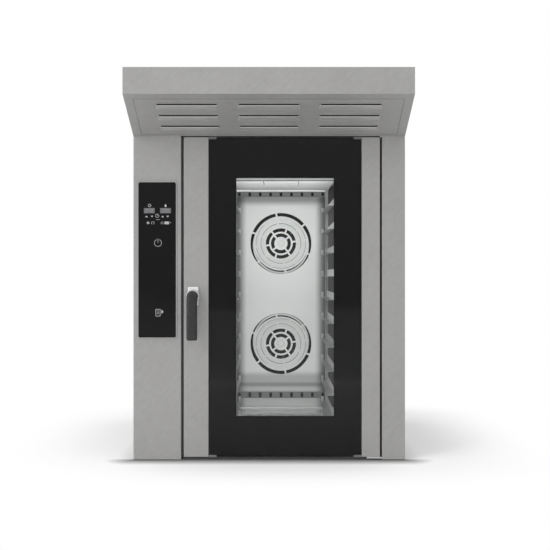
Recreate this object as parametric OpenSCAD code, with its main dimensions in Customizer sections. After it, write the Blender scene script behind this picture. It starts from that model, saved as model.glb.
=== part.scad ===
// Rotating rack oven with an extraction hood. A ten-level tray rack turns on a vertical axis in front
// of two circulation fans, behind a side-hinged double-glass door.
// Frame: origin on the floor under the middle of the whole outline, +Z up, the door faces -Y and +X
// is to the right as seen from the front. Depths are measured back from the front plane of the body,
// and from_front() moves what is drawn with such depths to its place. All sizes are in millimetres.

/* [Body] */
// Width of the body and of the hood
body_w = 1000; // [990:2:1020]
// Depth of the body, without the hood's overhang
body_d = 1180; // [1170:5:1250]
// Height of the body up to the hood
body_h = 1192; // [1188:2:1220]
// Thickness of the stainless sheet
sheet = 1.5; // [1.2:0.1:2]
// Width of the left pillar, which holds the controls
pillar_left_w = 176; // [172:1:178]
// Width of the right pillar, at the hinges
pillar_right_w = 85; // [83:1:88]
// Depth of the pillars' returns beside the door
reveal_d = 62; // [60:1:62]

/* [Hood] */
// How far the hood reaches out in front of the body
hood_overhang = 286; // [260:2:320]
// Height of the hood over the body
hood_h = 200; // [190:2:220]
// Height of the hood's front band
hood_band_h = 92; // [80:2:110]
// Length of one pressed louvre
louvre_w = 220; // [180:5:230]
// Depth of one pressed louvre along the slope
louvre_d = 35; // [28:1:40]
// How far a louvre stands out of its panel
louvre_rise = 9; // [6:1:12]

/* [Door] */
// Gap between the left pillar and the door
door_gap_left = 9; // [7:0.5:10]
// Gap between the door and the right pillar
door_gap_right = 7; // [6:0.5:8]
// Height of the door's lower edge over the floor
door_bottom = 12; // [12:0.5:14]
// Thickness of the door from the glass to its inner face
door_t = 50; // [48:1:50]
// Width of the door's left stile
stile_left_w = 92; // [88:1:94]
// Width of the door's right stile
stile_right_w = 68; // [66:1:72]
// Width of the black border at the sides of the window
border_side = 102; // [96:1:108]
// Height of the black border over and under the window
border_end = 150; // [140:1:158]

/* [Baking chamber] */
// Clear width of the chamber
chamber_w = 776; // [772:1:780]
// Height of the chamber's floor
chamber_floor = 88; // [86:1:89]
// Height of the chamber's ceiling
chamber_ceiling = 1080; // [1078:1:1084]
// Depth of the fan baffle's front face
baffle_y = 890; // [886:1:896]
// Depth of the fan chamber's rear wall
fan_chamber_y = 1000; // [996:1:1006]

/* [Rack] */
// Sideways place of the rack's axis
axis_x = 48; // [46:0.5:50]
// Depth of the rack's axis
axis_y = 496; // [492:1:498]
// Number of tray levels
levels = 10; // [6:1:10]
// Height from one level to the next
pitch = 92; // [84:1:92]
// Height of the lowest runner's flange
first_level = 125; // [123:1:127]
// Clear width between the runners' legs, for a tray of 400
tray_clear = 403; // [402:0.5:404]
// Length of the runners, for a tray of 600
runner_l = 594; // [580:1:594]
// Width of a runner's flange
flange_w = 26; // [22:1:28]
// Height of a runner's leg over its flange
leg_h = 27; // [20:1:30]

/* [Fans] */
// Height of the lower fan
lower_fan_z = 372; // [366:1:378]
// Height of the upper fan
upper_fan_z = 823; // [817:1:829]
// Outer radius of a fan wheel
wheel_r = 118; // [114:1:120]
// Radius of a fan wheel's inlet
eye_r = 72; // [70:1:74]
// Number of blades of a fan wheel
blades = 14; // [10:1:16]

/* [Controls and handle] */
// Width of the glass of the controls
panel_w = 138; // [130:1:142]
// Height of the glass of the controls
panel_h = 571; // [540:1:580]
// Height of the lower edge of the glass of the controls
panel_z = 451; // [440:1:460]
// Sideways place of the handle's spindle
spindle_x = -279.5; // [-281:0.5:-278]
// Height of the handle's spindle
spindle_z = 603; // [598:1:608]
// Length of the handle's grip
grip_l = 181; // [170:1:190]
// How far the grip stands out of the door
grip_out = 72; // [66:1:76]
// Thickness of the handle's grip
grip_t = 24; // [20:1:28]

/* [Hidden] */
$fn = 64;

// Colours
outer_steel = [0.62, 0.61, 0.59];
inner_steel = [0.78, 0.78, 0.77];
dark_steel = [0.35, 0.35, 0.36];
zinc = [0.66, 0.67, 0.66];
chrome = [0.86, 0.86, 0.87];
black_glass = [0.05, 0.05, 0.05];
clear_glass = [0.7, 0.78, 0.78, 0.3];
grip_black = [0.14, 0.14, 0.15];
rubber_black = [0.1, 0.1, 0.1];
wool = [0.85, 0.8, 0.6];
motor_grey = [0.4, 0.43, 0.46];
board_green = [0.1, 0.35, 0.2];
brass = [0.75, 0.6, 0.3];

// Whole outline
rear_stub = 30;
total_d = hood_overhang + body_d + rear_stub;
front_y = hood_overhang - total_d / 2;
half_w = body_w / 2;
total_h = body_h + hood_h;

// Door
door_l = -half_w + pillar_left_w + door_gap_left;
door_r = half_w - pillar_right_w - door_gap_right;
door_top = body_h - 4;
glass_l = door_l + stile_left_w;
glass_r = door_r - stile_right_w;
outer_glass_t = 6;
border_t = 1;
inner_glass_t = 5;
rebate = 12;
rail_bottom_h = 108;
rail_top_h = 128;

// Chamber
chamber_l = axis_x - chamber_w / 2;
chamber_r = axis_x + chamber_w / 2;
frame_y = reveal_d;
chamber_y = frame_y + sheet;
opening_l = axis_x - 300;
opening_r = axis_x + 300;
opening_bottom = chamber_floor + 4;
opening_top = chamber_ceiling - 8;
bottom_z = 60;
wool_t = 48;
rear_wool_y = fan_chamber_y + sheet + wool_t;

// Rack, about its own axis
rack_half_d = 305;
rack_half_w = tray_clear / 2 + 7;
post_w = 12;
rack_base_z = 104;
rack_top_z = first_level + (levels - 1) * pitch + 102;
leg_x = tray_clear / 2;

// Running clearance of shafts in their bores
run = 0.05;
drive_r = 15;
pivot_r = 10;
motor_shaft_r = 8;
hinge_r = 5;
bush_r = 8;
hinge_x = door_r - 11;
hinge_y = 11;
spindle_r = 8;
block_t = 12;
collar_r = 25;
collar_t = 16;

// Flue, drain and water
flue_r = 75;
flue_x = 40;
flue_y = 640;
drain_r = 20;
drain_pipe_r = drain_r - 2.5;
drain_x = 250;
drain_y = 850;
drain_z = 38;
inlet_r = 13.2;
inlet_l = 20;
inlet_x = -300;
inlet_z = 700;

// What is drawn with a depth from the body's front plane
module from_front() {
    translate([0, front_y, 0]) children();
}

// A box between two corners
module block(low, high) {
    translate(low) cube(high - low);
}

// A plane outline in x and z, t thick, whose front face is at depth y
module upright(y, t) {
    translate([0, y + t, 0]) rotate([90, 0, 0]) linear_extrude(t) children();
}

// A plane outline in depth and z, t thick, from x towards +X
module sideways(x, t) {
    translate([x, 0, 0]) rotate([90, 0, 90]) linear_extrude(t) children();
}

// A rectangle between two corners with rounded corners
module rounded(x0, y0, x1, y1, r) {
    translate([x0 + r, y0]) square([x1 - x0 - 2 * r, y1 - y0]);
    translate([x0, y0 + r]) square([x1 - x0, y1 - y0 - 2 * r]);
    for (x = [x0 + r, x1 - r], y = [y0 + r, y1 - r]) translate([x, y]) circle(r = r);
}

// A slot with round ends along x, centred
module slot(length, width) {
    square([length - width, width], center = true);
    for (s = [-1, 1]) translate([s * (length - width) / 2, 0]) circle(d = width);
}

// The right-hand piece as drawn, or its mirror image on the left
module side(s) {
    if (s > 0) children();
    else mirror([1, 0, 0]) children();
}

// A cylinder along +Y from a point
module rod_y(x, y, z, r, length) {
    translate([x, y, z]) rotate([-90, 0, 0]) cylinder(r = r, h = length);
}

// ---- Base and casing ----

module base_rails() {
    rail_w = 60;
    wall = 2.5;
    from_front() color(dark_steel) for (s = [-1, 1]) {
        outer = s * (half_w - 8);
        inner = outer - s * rail_w;
        difference() {
            block([min(outer, inner), reveal_d + 6, door_bottom], [max(outer, inner), body_d - 12, bottom_z]);
            block([min(outer - s * wall, inner - s), reveal_d, door_bottom + wall],
                [max(outer - s * wall, inner - s), body_d, bottom_z - wall]);
        }
    }
}

module levelling_feet() {
    foot_x = half_w - 38;
    pad_h = 7;
    from_front() color(dark_steel) for (x = [-foot_x, foot_x], y = [120, body_d - 70])
        translate([x, y, 0]) {
            cylinder(r1 = 25, r2 = 22, h = pad_h);
            translate([0, 0, pad_h]) cylinder(d = 24, h = door_bottom - pad_h, $fn = 6);
        }
}

module bottom_panel() {
    hatch = 130;
    from_front() color(zinc) difference() {
        union() {
            block([-half_w + 4, reveal_d + 4, bottom_z], [half_w - 4, body_d - 4, bottom_z + sheet]);
            block([-half_w + 72, reveal_d + 4, door_bottom + 6], [half_w - 72, reveal_d + 4 + sheet, bottom_z]);
        }
        block([axis_x - hatch / 2, axis_y - hatch / 2, bottom_z - 1],
            [axis_x + hatch / 2, axis_y + hatch / 2, bottom_z + 3]);
        translate([drain_x, drain_y, bottom_z - 1]) cylinder(r = drain_pipe_r + 2, h = 4);
    }
}

// A side sheet with folded lips at its rear, top and bottom
module side_sheet() {
    lip = 12;
    wrap = 40;
    sideways(0, sheet) translate([wrap, 2]) square([body_d - wrap - sheet, body_h - 2]);
    block([0, body_d - 2 * sheet, 2], [lip, body_d - sheet, body_h]);
    block([0, wrap, 2], [lip, body_d - sheet, 2 + sheet]);
    block([0, wrap, body_h - 2 - sheet], [lip, body_d - sheet, body_h - 2]);
}

module side_vents(x) {
    for (k = [0:7], y = [body_d - 250, body_d - 130])
        sideways(x, 4 * sheet) translate([y, 180 + k * 26]) slot(90, 8);
}

module side_panel_left() {
    from_front() color(outer_steel) difference() {
        translate([-half_w, 0, 0]) side_sheet();
        side_vents(-half_w - 2 * sheet);
    }
}

module side_panel_right() {
    from_front() color(outer_steel) mirror([1, 0, 0]) translate([-half_w, 0, 0]) side_sheet();
}

module rear_panel() {
    from_front() color(outer_steel) difference() {
        upright(body_d - sheet, sheet) rounded(-half_w, 2, half_w, body_h, 1);
        for (k = [0:9], x = [-240, -80, 80, 240])
            upright(body_d - 2 * sheet, 3 * sheet) translate([x, 880 + k * 24]) slot(120, 8);
        rod_y(drain_x, body_d - 10, drain_z, drain_pipe_r + 1, 20);
        rod_y(inlet_x, body_d - 10, inlet_z, inlet_r + 1, 20);
        rod_y(inlet_x - 90, body_d - 10, inlet_z, 12.8, 20);
    }
}

module top_panel() {
    from_front() color(zinc) difference() {
        block([-half_w + sheet, reveal_d + 12, body_h - 5], [half_w - sheet, body_d - 22, body_h - 5 + sheet]);
        translate([flue_x, flue_y - 200, body_h - 10]) cylinder(r = 45, h = 20);
    }
}

// The folded outline of a pillar: front face, outer wrap and return beside the door
module pillar_outline(x_out, x_in) {
    low = min(x_out, x_in);
    high = max(x_out, x_in);
    s = sign(x_in - x_out);
    difference() {
        rounded(low, 0, high, reveal_d + 4, 3);
        rounded(low + sheet, sheet, high - sheet, reveal_d + 10, 1.5);
        translate([low - 1, reveal_d]) square([high - low + 2, 20]);
        translate([x_out - (s > 0 ? 1 : 9), 40]) square([10, 40]);
    }
}

module pillar_left() {
    inner = -half_w + pillar_left_w;
    cut_l = -half_w + 28;
    from_front() color(outer_steel) difference() {
        translate([0, 0, 2]) linear_extrude(body_h - 2) pillar_outline(-half_w, inner);
        upright(-5, 10) rounded(cut_l, panel_z + 12, cut_l + panel_w - 18, panel_z + panel_h - 12, 4);
        block([inner - 6, door_t - 1, spindle_z - 12], [inner + 1, door_t + 9, spindle_z + 40]);
    }
}

module pillar_right() {
    from_front() color(outer_steel) translate([0, 0, 2]) linear_extrude(body_h - 2)
        pillar_outline(half_w, half_w - pillar_right_w);
}

// ---- Baking chamber ----

module chamber_floor_pan() {
    from_front() color(inner_steel) difference() {
        block([chamber_l, chamber_y, chamber_floor - sheet], [chamber_r, fan_chamber_y, chamber_floor]);
        translate([axis_x, axis_y, chamber_floor - 5]) cylinder(r = 26, h = 10);
        translate([drain_x, drain_y, chamber_floor - 5]) cylinder(r = drain_pipe_r - 1.5, h = 10);
    }
}

module chamber_wall_left() {
    from_front() color(inner_steel) difference() {
        block([chamber_l - sheet, chamber_y, chamber_floor - sheet], [chamber_l, fan_chamber_y, chamber_ceiling + sheet]);
        for (z = lamp_heights) translate([chamber_l - 5, lamp_y, z]) rotate([0, 90, 0]) cylinder(r = 36, h = 10);
    }
}

module chamber_wall_right() {
    from_front() color(inner_steel)
        block([chamber_r, chamber_y, chamber_floor - sheet], [chamber_r + sheet, fan_chamber_y, chamber_ceiling + sheet]);
}

module chamber_ceiling_pan() {
    from_front() color(inner_steel) difference() {
        block([chamber_l, chamber_y, chamber_ceiling], [chamber_r, fan_chamber_y, chamber_ceiling + sheet]);
        translate([axis_x, axis_y, chamber_ceiling - 5]) cylinder(r = 18.4, h = 12);
    }
}

module chamber_rear_wall() {
    from_front() color(inner_steel) difference() {
        block([chamber_l - sheet, fan_chamber_y, chamber_floor - sheet],
            [chamber_r + sheet, fan_chamber_y + sheet, chamber_ceiling + sheet]);
        for (z = [lower_fan_z, upper_fan_z]) {
            rod_y(axis_x, fan_chamber_y - 5, z, 14, 12);
            for (x = terminal_offsets) rod_y(axis_x + x, fan_chamber_y - 5, z - heater_r, heater_tube_r + 0.5, 12);
        }
        rod_y(axis_x, fan_chamber_y - 5, steam_z, 6, 12);
        rod_y(probe_x, fan_chamber_y - 5, probe_z, 3.5, 12);
    }
}

module chamber_front_frame() {
    from_front() color(inner_steel) {
        upright(frame_y, sheet) difference() {
            rounded(chamber_l - sheet, door_bottom, chamber_r + sheet, door_top, 2);
            rounded(opening_l, opening_bottom, opening_r, opening_top, 14);
        }
        upright(frame_y + sheet, 16) difference() {
            rounded(opening_l - sheet, opening_bottom - sheet, opening_r + sheet, opening_top + sheet, 14 + sheet);
            rounded(opening_l, opening_bottom, opening_r, opening_top, 14);
        }
    }
}

module door_gasket() {
    from_front() color(rubber_black) {
        upright(door_t + 0.4, 6) difference() {
            rounded(opening_l - 12, opening_bottom - 10, opening_r + 12, opening_top + 10, 22);
            rounded(opening_l - 4, opening_bottom - 2, opening_r + 4, opening_top + 2, 15);
        }
        upright(door_t + 6.4, frame_y - door_t - 6.4) difference() {
            rounded(opening_l - 10, opening_bottom - 8, opening_r + 10, opening_top + 8, 20);
            rounded(opening_l - 6, opening_bottom - 4, opening_r + 6, opening_top + 4, 17);
        }
    }
}

module insulation() {
    low = chamber_floor - sheet;
    high = chamber_ceiling + sheet;
    from_front() color(wool) {
        difference() {
            block([chamber_l - sheet - wool_t, chamber_y, low], [chamber_l - sheet, fan_chamber_y, high]);
            for (z = lamp_heights)
                translate([chamber_l - 60, lamp_y, z]) rotate([0, 90, 0]) cylinder(r = 46, h = 70);
        }
        block([chamber_r + sheet, chamber_y, low], [chamber_r + sheet + wool_t, fan_chamber_y, high]);
        difference() {
            block([chamber_l - 40, chamber_y, high], [chamber_r + 40, fan_chamber_y, high + wool_t]);
            translate([axis_x, axis_y, high - 1]) cylinder(r = 34, h = wool_t + 2);
        }
        difference() {
            block([chamber_l, chamber_y, bottom_z + sheet], [chamber_r, fan_chamber_y, low]);
            block([axis_x - 60, axis_y - 60, bottom_z], [axis_x + 60, axis_y + 60, low + 1]);
            translate([drain_x, drain_y, bottom_z]) cylinder(r = drain_r + 2, h = 40);
        }
        difference() {
            block([chamber_l, fan_chamber_y + sheet, low], [chamber_r, rear_wool_y, high]);
            for (z = [lower_fan_z, upper_fan_z]) {
                rod_y(axis_x, fan_chamber_y, z, 30, wool_t + 10);
                for (x = terminal_offsets) rod_y(axis_x + x, fan_chamber_y, z - heater_r, 9, wool_t + 10);
            }
            rod_y(axis_x, fan_chamber_y, steam_z, 7, wool_t + 10);
            rod_y(probe_x, fan_chamber_y, probe_z, 6, wool_t + 10);
        }
    }
}

lamp_heights = [350, 820];
lamp_y = 140;

module chamber_lamps() {
    from_front() color(clear_glass) for (z = lamp_heights) translate([chamber_l, lamp_y, z]) rotate([0, 90, 0]) {
        translate([0, 0, -38]) cylinder(r = 35.5, h = 38);
        cylinder(r = 44, h = 2);
        intersection() {
            translate([0, 0, -60]) sphere(r = 69);
            cylinder(r = 34, h = 12);
        }
    }
}

// ---- Air circulation ----

// Rings of slots in the baffle: inner radius, outer radius, number of bridges and angle of the first
slot_rings = [[30, 45, 4, 40], [53, 68, 6, 8], [76, 91, 6, 39], [99, 113, 6, 8], [122, 137, 6, 39]];
bridge_w = 8;
hub_cap_r = 17;
probe_x = -215;
probe_z = 1010;
steam_z = (lower_fan_z + upper_fan_z) / 2;
terminal_offsets = [-12, 12];
heater_r = 152;
heater_tube_r = 4.2;

module slot_ring(ring) {
    difference() {
        circle(r = ring[1], $fn = 96);
        circle(r = ring[0], $fn = 96);
        for (k = [0:ring[2] - 1]) rotate(ring[3] + k * 360 / ring[2])
            translate([ring[0] - 2, -bridge_w / 2]) square([ring[1] - ring[0] + 4, bridge_w]);
    }
}

module fan_baffle() {
    side_gap = 50;
    rim = 24;
    left = chamber_l + side_gap;
    right = chamber_r - side_gap;
    from_front() color(inner_steel) {
        upright(baffle_y, sheet) difference() {
            translate([left, chamber_floor]) square([right - left, chamber_ceiling - chamber_floor]);
            for (z = [lower_fan_z, upper_fan_z], ring = slot_rings) translate([axis_x, z]) slot_ring(ring);
            translate([probe_x, probe_z]) circle(r = 4);
        }
        for (x = [left, right - sheet])
            block([x, baffle_y, chamber_floor], [x + sheet, baffle_y + rim, chamber_ceiling]);
        for (z = [chamber_floor, chamber_ceiling - sheet])
            block([left, baffle_y, z], [right, baffle_y + rim, z + sheet]);
        for (z = [lower_fan_z, upper_fan_z]) translate([axis_x, baffle_y, z]) rotate([90, 0, 0]) {
            cylinder(r = hub_cap_r, h = 2);
            translate([0, 0, 2]) cylinder(r1 = hub_cap_r, r2 = hub_cap_r - 6, h = 3);
            cylinder(r = hub_cap_r / 2, h = 6.5);
        }
    }
}

// A tubular heater: three turns round the wheel and two ends through the rear wall
module heater(z) {
    for (k = [0:2]) translate([axis_x, baffle_y + 26 + k * 22, z]) rotate([90, 0, 0])
        rotate_extrude($fn = 96) translate([heater_r, 0]) circle(r = heater_tube_r, $fn = 24);
    for (x = terminal_offsets)
        rod_y(axis_x + x, baffle_y + 20, z - heater_r + 0.4, heater_tube_r, fan_chamber_y - baffle_y + 32);
}

module heating_elements() {
    from_front() color(dark_steel) for (z = [lower_fan_z, upper_fan_z]) heater(z);
}

// A centrifugal wheel about the Y axis: rear disc, blades, inlet ring and shaft, from depth 0 back
module wheel(r, eye, width, count, hub_r, shaft_r, shaft_l) {
    t = 1.6;
    rotate([-90, 0, 0]) {
        translate([0, 0, width - t]) cylinder(r = r, h = t);
        difference() {
            cylinder(r = r, h = t);
            translate([0, 0, -1]) cylinder(r = eye, h = t + 2);
        }
        linear_extrude(width) intersection() {
            difference() {
                circle(r = r - 0.5);
                circle(r = eye - 8);
            }
            for (k = [0:count - 1]) rotate(k * 360 / count) translate([eye - 14, 0]) rotate(38)
                translate([0, -t / 2]) square([r, t]);
        }
        translate([0, 0, width - 22]) cylinder(r = hub_r, h = 22);
        translate([0, 0, width - 2]) cylinder(r = shaft_r, h = shaft_l + 2);
    }
}

wheel_y = baffle_y + 8;
wheel_w = 64;

module circulation_wheel(z) {
    from_front() color(zinc) translate([axis_x, wheel_y, z])
        wheel(wheel_r, eye_r, wheel_w, blades, 20, motor_shaft_r, rear_wool_y + 40 - wheel_y - wheel_w);
}

module fan_wheel_upper() circulation_wheel(upper_fan_z);

module fan_wheel_lower() circulation_wheel(lower_fan_z);

// A flanged motor behind the rear insulation, with cooling ribs and a bored front boss
module fan_motor(z) {
    motor_r = 62;
    motor_l = 96;
    from_front() color(motor_grey) translate([axis_x, rear_wool_y, z]) rotate([-90, 0, 0]) difference() {
        union() {
            linear_extrude(6) rounded(-80, -80, 80, 80, 12);
            cylinder(r = motor_r - 4, h = motor_l);
            for (k = [0:11]) translate([0, 0, 12 + k * 6.4]) cylinder(r = motor_r, h = 3);
            translate([0, 0, motor_l]) cylinder(r = motor_r - 14, h = 8);
        }
        translate([0, 0, -1]) cylinder(r = motor_shaft_r + run, h = 48);
        for (x = [-68, 68], y = [-68, 68]) translate([x, y, -1]) cylinder(r = 4.5, h = 10);
    }
}

module fan_motor_upper() fan_motor(upper_fan_z);

module fan_motor_lower() fan_motor(lower_fan_z);

module steam_pipe() {
    r = 4;
    feed_y = rear_wool_y + 60;
    from_front() color(brass) {
        rod_y(axis_x, wheel_y + wheel_w, steam_z, r, feed_y - wheel_y - wheel_w);
        translate([axis_x, feed_y, steam_z]) sphere(r = r);
        translate([inlet_x, feed_y, steam_z]) rotate([0, 90, 0]) cylinder(r = r, h = axis_x - inlet_x);
        translate([inlet_x, feed_y, steam_z]) sphere(r = r);
        translate([inlet_x, feed_y, steam_z]) cylinder(r = r, h = inlet_z - 18 - steam_z);
        rod_y(axis_x, fan_chamber_y - 8, steam_z, 11, 8);
    }
}

module temperature_probe() {
    from_front() color(chrome) {
        rod_y(probe_x, baffle_y - 60, probe_z, 3, rear_wool_y + 10 - baffle_y + 60);
        rod_y(probe_x, fan_chamber_y - 5, probe_z, 9, 5);
    }
}

module drain_pipe() {
    wall = 1.5;
    spigot_l = 28;
    module run_of_pipe(r, extra) {
        translate([drain_x, drain_y, drain_z]) {
            cylinder(r = r, h = chamber_floor - drain_z - sheet + extra);
            sphere(r = r);
        }
        rod_y(drain_x, drain_y, drain_z, r, body_d + rear_stub - drain_y + extra);
    }
    from_front() color(inner_steel) difference() {
        union() {
            run_of_pipe(drain_pipe_r, 0);
            rod_y(drain_x, body_d + rear_stub - spigot_l, drain_z, drain_r, spigot_l);
        }
        run_of_pipe(drain_pipe_r - wall, 1 + sheet);
    }
}

module water_valve() {
    from_front() color(brass) {
        block([inlet_x - 22, body_d - 75, inlet_z - 18], [inlet_x + 22, body_d - sheet - 3, inlet_z + 20]);
        translate([inlet_x, body_d - 48, inlet_z + 20]) cylinder(r = 16, h = 34);
        rod_y(inlet_x, body_d - 5, inlet_z, inlet_r - 1.2, 7);
        translate([inlet_x, body_d + 1, inlet_z]) rotate([-90, 30, 0]) cylinder(r = inlet_r + 4, h = 5, $fn = 6);
        rod_y(inlet_x, body_d + 6, inlet_z, inlet_r, inlet_l);
    }
}

module cable_gland() {
    from_front() color(rubber_black) translate([inlet_x - 90, body_d, inlet_z]) rotate([-90, 0, 0]) difference() {
        union() {
            translate([0, 0, -16]) cylinder(r = 12.5, h = 17);
            cylinder(d = 36, h = 8, $fn = 6);
            translate([0, 0, 8]) cylinder(r1 = 15, r2 = 12, h = 14);
        }
        translate([0, 0, -17]) cylinder(r = 8, h = 40);
    }
}

// ---- Hood ----

slope_angle = atan2(hood_h - hood_band_h, hood_overhang);
slope_l = hood_overhang / cos(slope_angle);

// What is drawn on the hood's sloping underside: x sideways, y down the slope, z into the hood
module on_slope() {
    translate([0, -hood_overhang, total_h - hood_band_h]) rotate([-slope_angle, 0, 0]) children();
}

hatch_side = 30;
hatch_front = 33;
hatch_rear = 10;

module hood_side_outline(grow) {
    polygon([[-hood_overhang + grow, total_h - hood_band_h + grow * 0.4], [-hood_overhang + grow, total_h - grow],
        [body_d - grow, total_h - grow], [body_d - grow, body_h - (grow > 0 ? 5 : 0)], [grow / 2, body_h - (grow > 0 ? 5 : 0)]]);
}

module hood_shell() {
    from_front() color(outer_steel) difference() {
        union() {
            difference() {
                sideways(-half_w, body_w) hood_side_outline(0);
                sideways(-half_w + sheet, body_w - 2 * sheet) hood_side_outline(sheet);
            }
            on_slope() linear_extrude(sheet) translate([-half_w + 1, 0.5]) square([body_w - 2, slope_l - 0.5]);
        }
        on_slope() translate([0, 0, -10]) linear_extrude(20)
            translate([-half_w + hatch_side + 1, hatch_front + 1])
                square([body_w - 2 * hatch_side - 2, slope_l - hatch_front - hatch_rear - 2]);
        translate([flue_x, flue_y, total_h - 10]) cylinder(r = flue_r - 2, h = 20);
    }
}

louvre_rows = [70, 149, 227];
louvre_pitch = 286;

// Outline of a louvre's press: it tapers towards its open edge
module louvre_outline(inset) {
    taper = 3;
    polygon([[-louvre_w / 2 + taper + inset, 0], [louvre_w / 2 - taper - inset, 0],
        [louvre_w / 2 - inset, louvre_d - inset], [-louvre_w / 2 + inset, louvre_d - inset]]);
}

// The pressed wedge, deepest at its open edge and running out into the panel
module louvre_wedge(rise, inset) {
    intersection() {
        translate([0, 0, -rise - 1]) linear_extrude(rise + 2) louvre_outline(inset);
        sideways(-louvre_w / 2 - 1, louvre_w + 2)
            polygon([[0, sheet], [0, -rise], [louvre_d - inset, 0], [louvre_d - inset, sheet]]);
    }
}

module louvre_panel() {
    w = body_w - 2 * hatch_side - 4;
    l = slope_l - hatch_front - hatch_rear - 4;
    from_front() color(outer_steel) on_slope() difference() {
        union() {
            linear_extrude(sheet) translate([-w / 2, hatch_front + 2]) square([w, l]);
            for (x = [-1, 0, 1], y = louvre_rows) translate([x * louvre_pitch, y, 0]) louvre_wedge(louvre_rise, 0);
        }
        for (x = [-1, 0, 1], y = louvre_rows) translate([x * louvre_pitch, y - 1, sheet / 2])
            louvre_wedge(louvre_rise - 1, sheet);
    }
}

module hood_filter() {
    depth = 18;
    from_front() color(zinc) on_slope() translate([0, 0, sheet]) difference() {
        linear_extrude(depth) translate([-half_w + 20, 20]) square([body_w - 40, slope_l - 26]);
        for (k = [0:24]) translate([-half_w + 74 + k * 35, 44, 3]) cube([18, slope_l - 74, depth]);
    }
}

scroll_r = 88;
scroll_w = 124;
scroll_z = body_h + 92;

module extractor_housing() {
    wall = 2;
    module scroll(r, w) {
        rod_y(flue_x - 12, flue_y - w / 2, scroll_z, r, w);
        block([flue_x - 12, flue_y - w / 2, scroll_z], [flue_x - 12 + r, flue_y + w / 2, total_h - sheet + (r < scroll_r ? 1 : 0)]);
    }
    from_front() color(zinc) difference() {
        scroll(scroll_r, scroll_w);
        scroll(scroll_r - wall, scroll_w - 2 * wall);
        rod_y(flue_x - 12, flue_y - scroll_w, scroll_z, 52, scroll_w);
        rod_y(flue_x - 12, flue_y, scroll_z, motor_shaft_r + 3, scroll_w);
    }
}

module extractor_wheel() {
    from_front() color(zinc) translate([flue_x - 12, flue_y - 50, scroll_z])
        wheel(70, 50, 96, 18, 16, motor_shaft_r, 60);
}

module extractor_motor() {
    from_front() color(motor_grey) translate([flue_x - 12, flue_y + scroll_w / 2, scroll_z]) rotate([-90, 0, 0])
        difference() {
            union() {
                cylinder(r = 56, h = 4);
                cylinder(r = 46, h = 90);
                for (k = [0:7]) translate([0, 0, 12 + k * 9]) cylinder(r = 50, h = 4);
            }
            translate([0, 0, -1]) cylinder(r = motor_shaft_r + run, h = 50);
        }
}

module flue_spigot() {
    from_front() color(outer_steel) translate([flue_x, flue_y, total_h]) difference() {
        union() {
            cylinder(r = flue_r + 18, h = 2);
            cylinder(r = flue_r, h = 50);
        }
        translate([0, 0, -1]) cylinder(r = flue_r - sheet, h = 52);
    }
}

// ---- Controls ----

module control_glass() {
    panel_l = -half_w + 19;
    from_front() color(black_glass) upright(-5, 5) rounded(panel_l, panel_z, panel_l + panel_w, panel_z + panel_h, 6);
}

module control_board() {
    panel_l = -half_w + 19;
    top = panel_z + panel_h;
    from_front() color(board_green) {
        block([panel_l + 14, 12, panel_z + 40], [panel_l + panel_w - 20, 14, top - 40]);
        for (x = [20, 77]) block([panel_l + x, 0, top - 116], [panel_l + x + 40, 12, top - 92]);
        for (z = [panel_z + 60, panel_z + 150, panel_z + 240])
            block([panel_l + 30, 14, z], [panel_l + 90, 32, z + 40]);
        for (z = [panel_z + 50, top - 50], x = [20, 106])
            rod_y(panel_l + x, 0, z, 3, 12);
    }
}

// ---- Door hinges and latch on the body ----

module strike_plate() {
    inner = -half_w + pillar_left_w - sheet;
    from_front() color(chrome) difference() {
        block([inner - 4, 20, spindle_z - 40], [inner, reveal_d, spindle_z + 68]);
        block([inner - 9, door_t - 1, spindle_z - 12], [inner + 1, door_t + 9, spindle_z + 40]);
    }
}

module hinge_brackets() {
    plate_t = 3;
    side = half_w - pillar_right_w;
    arm_l = 70;
    from_front() color(chrome) {
        difference() {
            block([side - arm_l, 1, door_top + 0.5], [side, frame_y, door_top + 0.5 + plate_t]);
            block([side - arm_l - 1, 0, door_top - 1], [side - arm_l + 24, 28, door_top + 9]);
        }
        translate([hinge_x, hinge_y, door_top - 24]) cylinder(r = hinge_r, h = 25);
        difference() {
            block([side - arm_l, 1, door_bottom - 0.5 - 2 * plate_t], [side, frame_y, door_bottom - 0.5]);
            block([side - arm_l - 1, 0, 0], [side - arm_l + 14, 18, 14]);
        }
        translate([hinge_x, hinge_y, door_bottom - 1]) cylinder(r = hinge_r, h = 25);
    }
}

// ---- Door ----

// Seat of a hinge bush at the top and bottom of the right stile
module bush_seats(r) {
    for (z = [door_bottom - 1, door_top - 27]) translate([hinge_x, hinge_y, z]) cylinder(r = r, h = 28);
}

// Box-section outline of a stile, with a rebate for the inner glass
module stile_outline(x0, x1, rebate_side) {
    wall = 1.8;
    step = door_t - inner_glass_t - 2;
    seat = rebate_side > 0 ? x1 - rebate : x0 + rebate;
    difference() {
        rounded(x0, 0, x1, door_t, 2.5);
        translate([x0 + wall, wall]) square([x1 - x0 - 2 * wall, step - 2 * wall]);
        translate([min(seat, rebate_side > 0 ? x0 : x1) + wall, wall])
            square([x1 - x0 - rebate - 2 * wall, door_t - 2 * wall]);
        translate([rebate_side > 0 ? seat : x0 - 1, step]) square([rebate + 1, 20]);
    }
}

module door_stile_left() {
    from_front() color(outer_steel) difference() {
        union() {
            translate([0, 0, door_bottom]) linear_extrude(door_top - door_bottom) stile_outline(door_l, glass_l, 1);
            for (z = [door_bottom, door_top - 3])
                block([door_l + 1, 1, z], [glass_l - 1, door_t - 8, z + 3]);
            rod_y(spindle_x, 0.5, spindle_z, 13, door_t - 1);
        }
        rod_y(spindle_x, -1, spindle_z, spindle_r + run, door_t + 2);
    }
}

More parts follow.
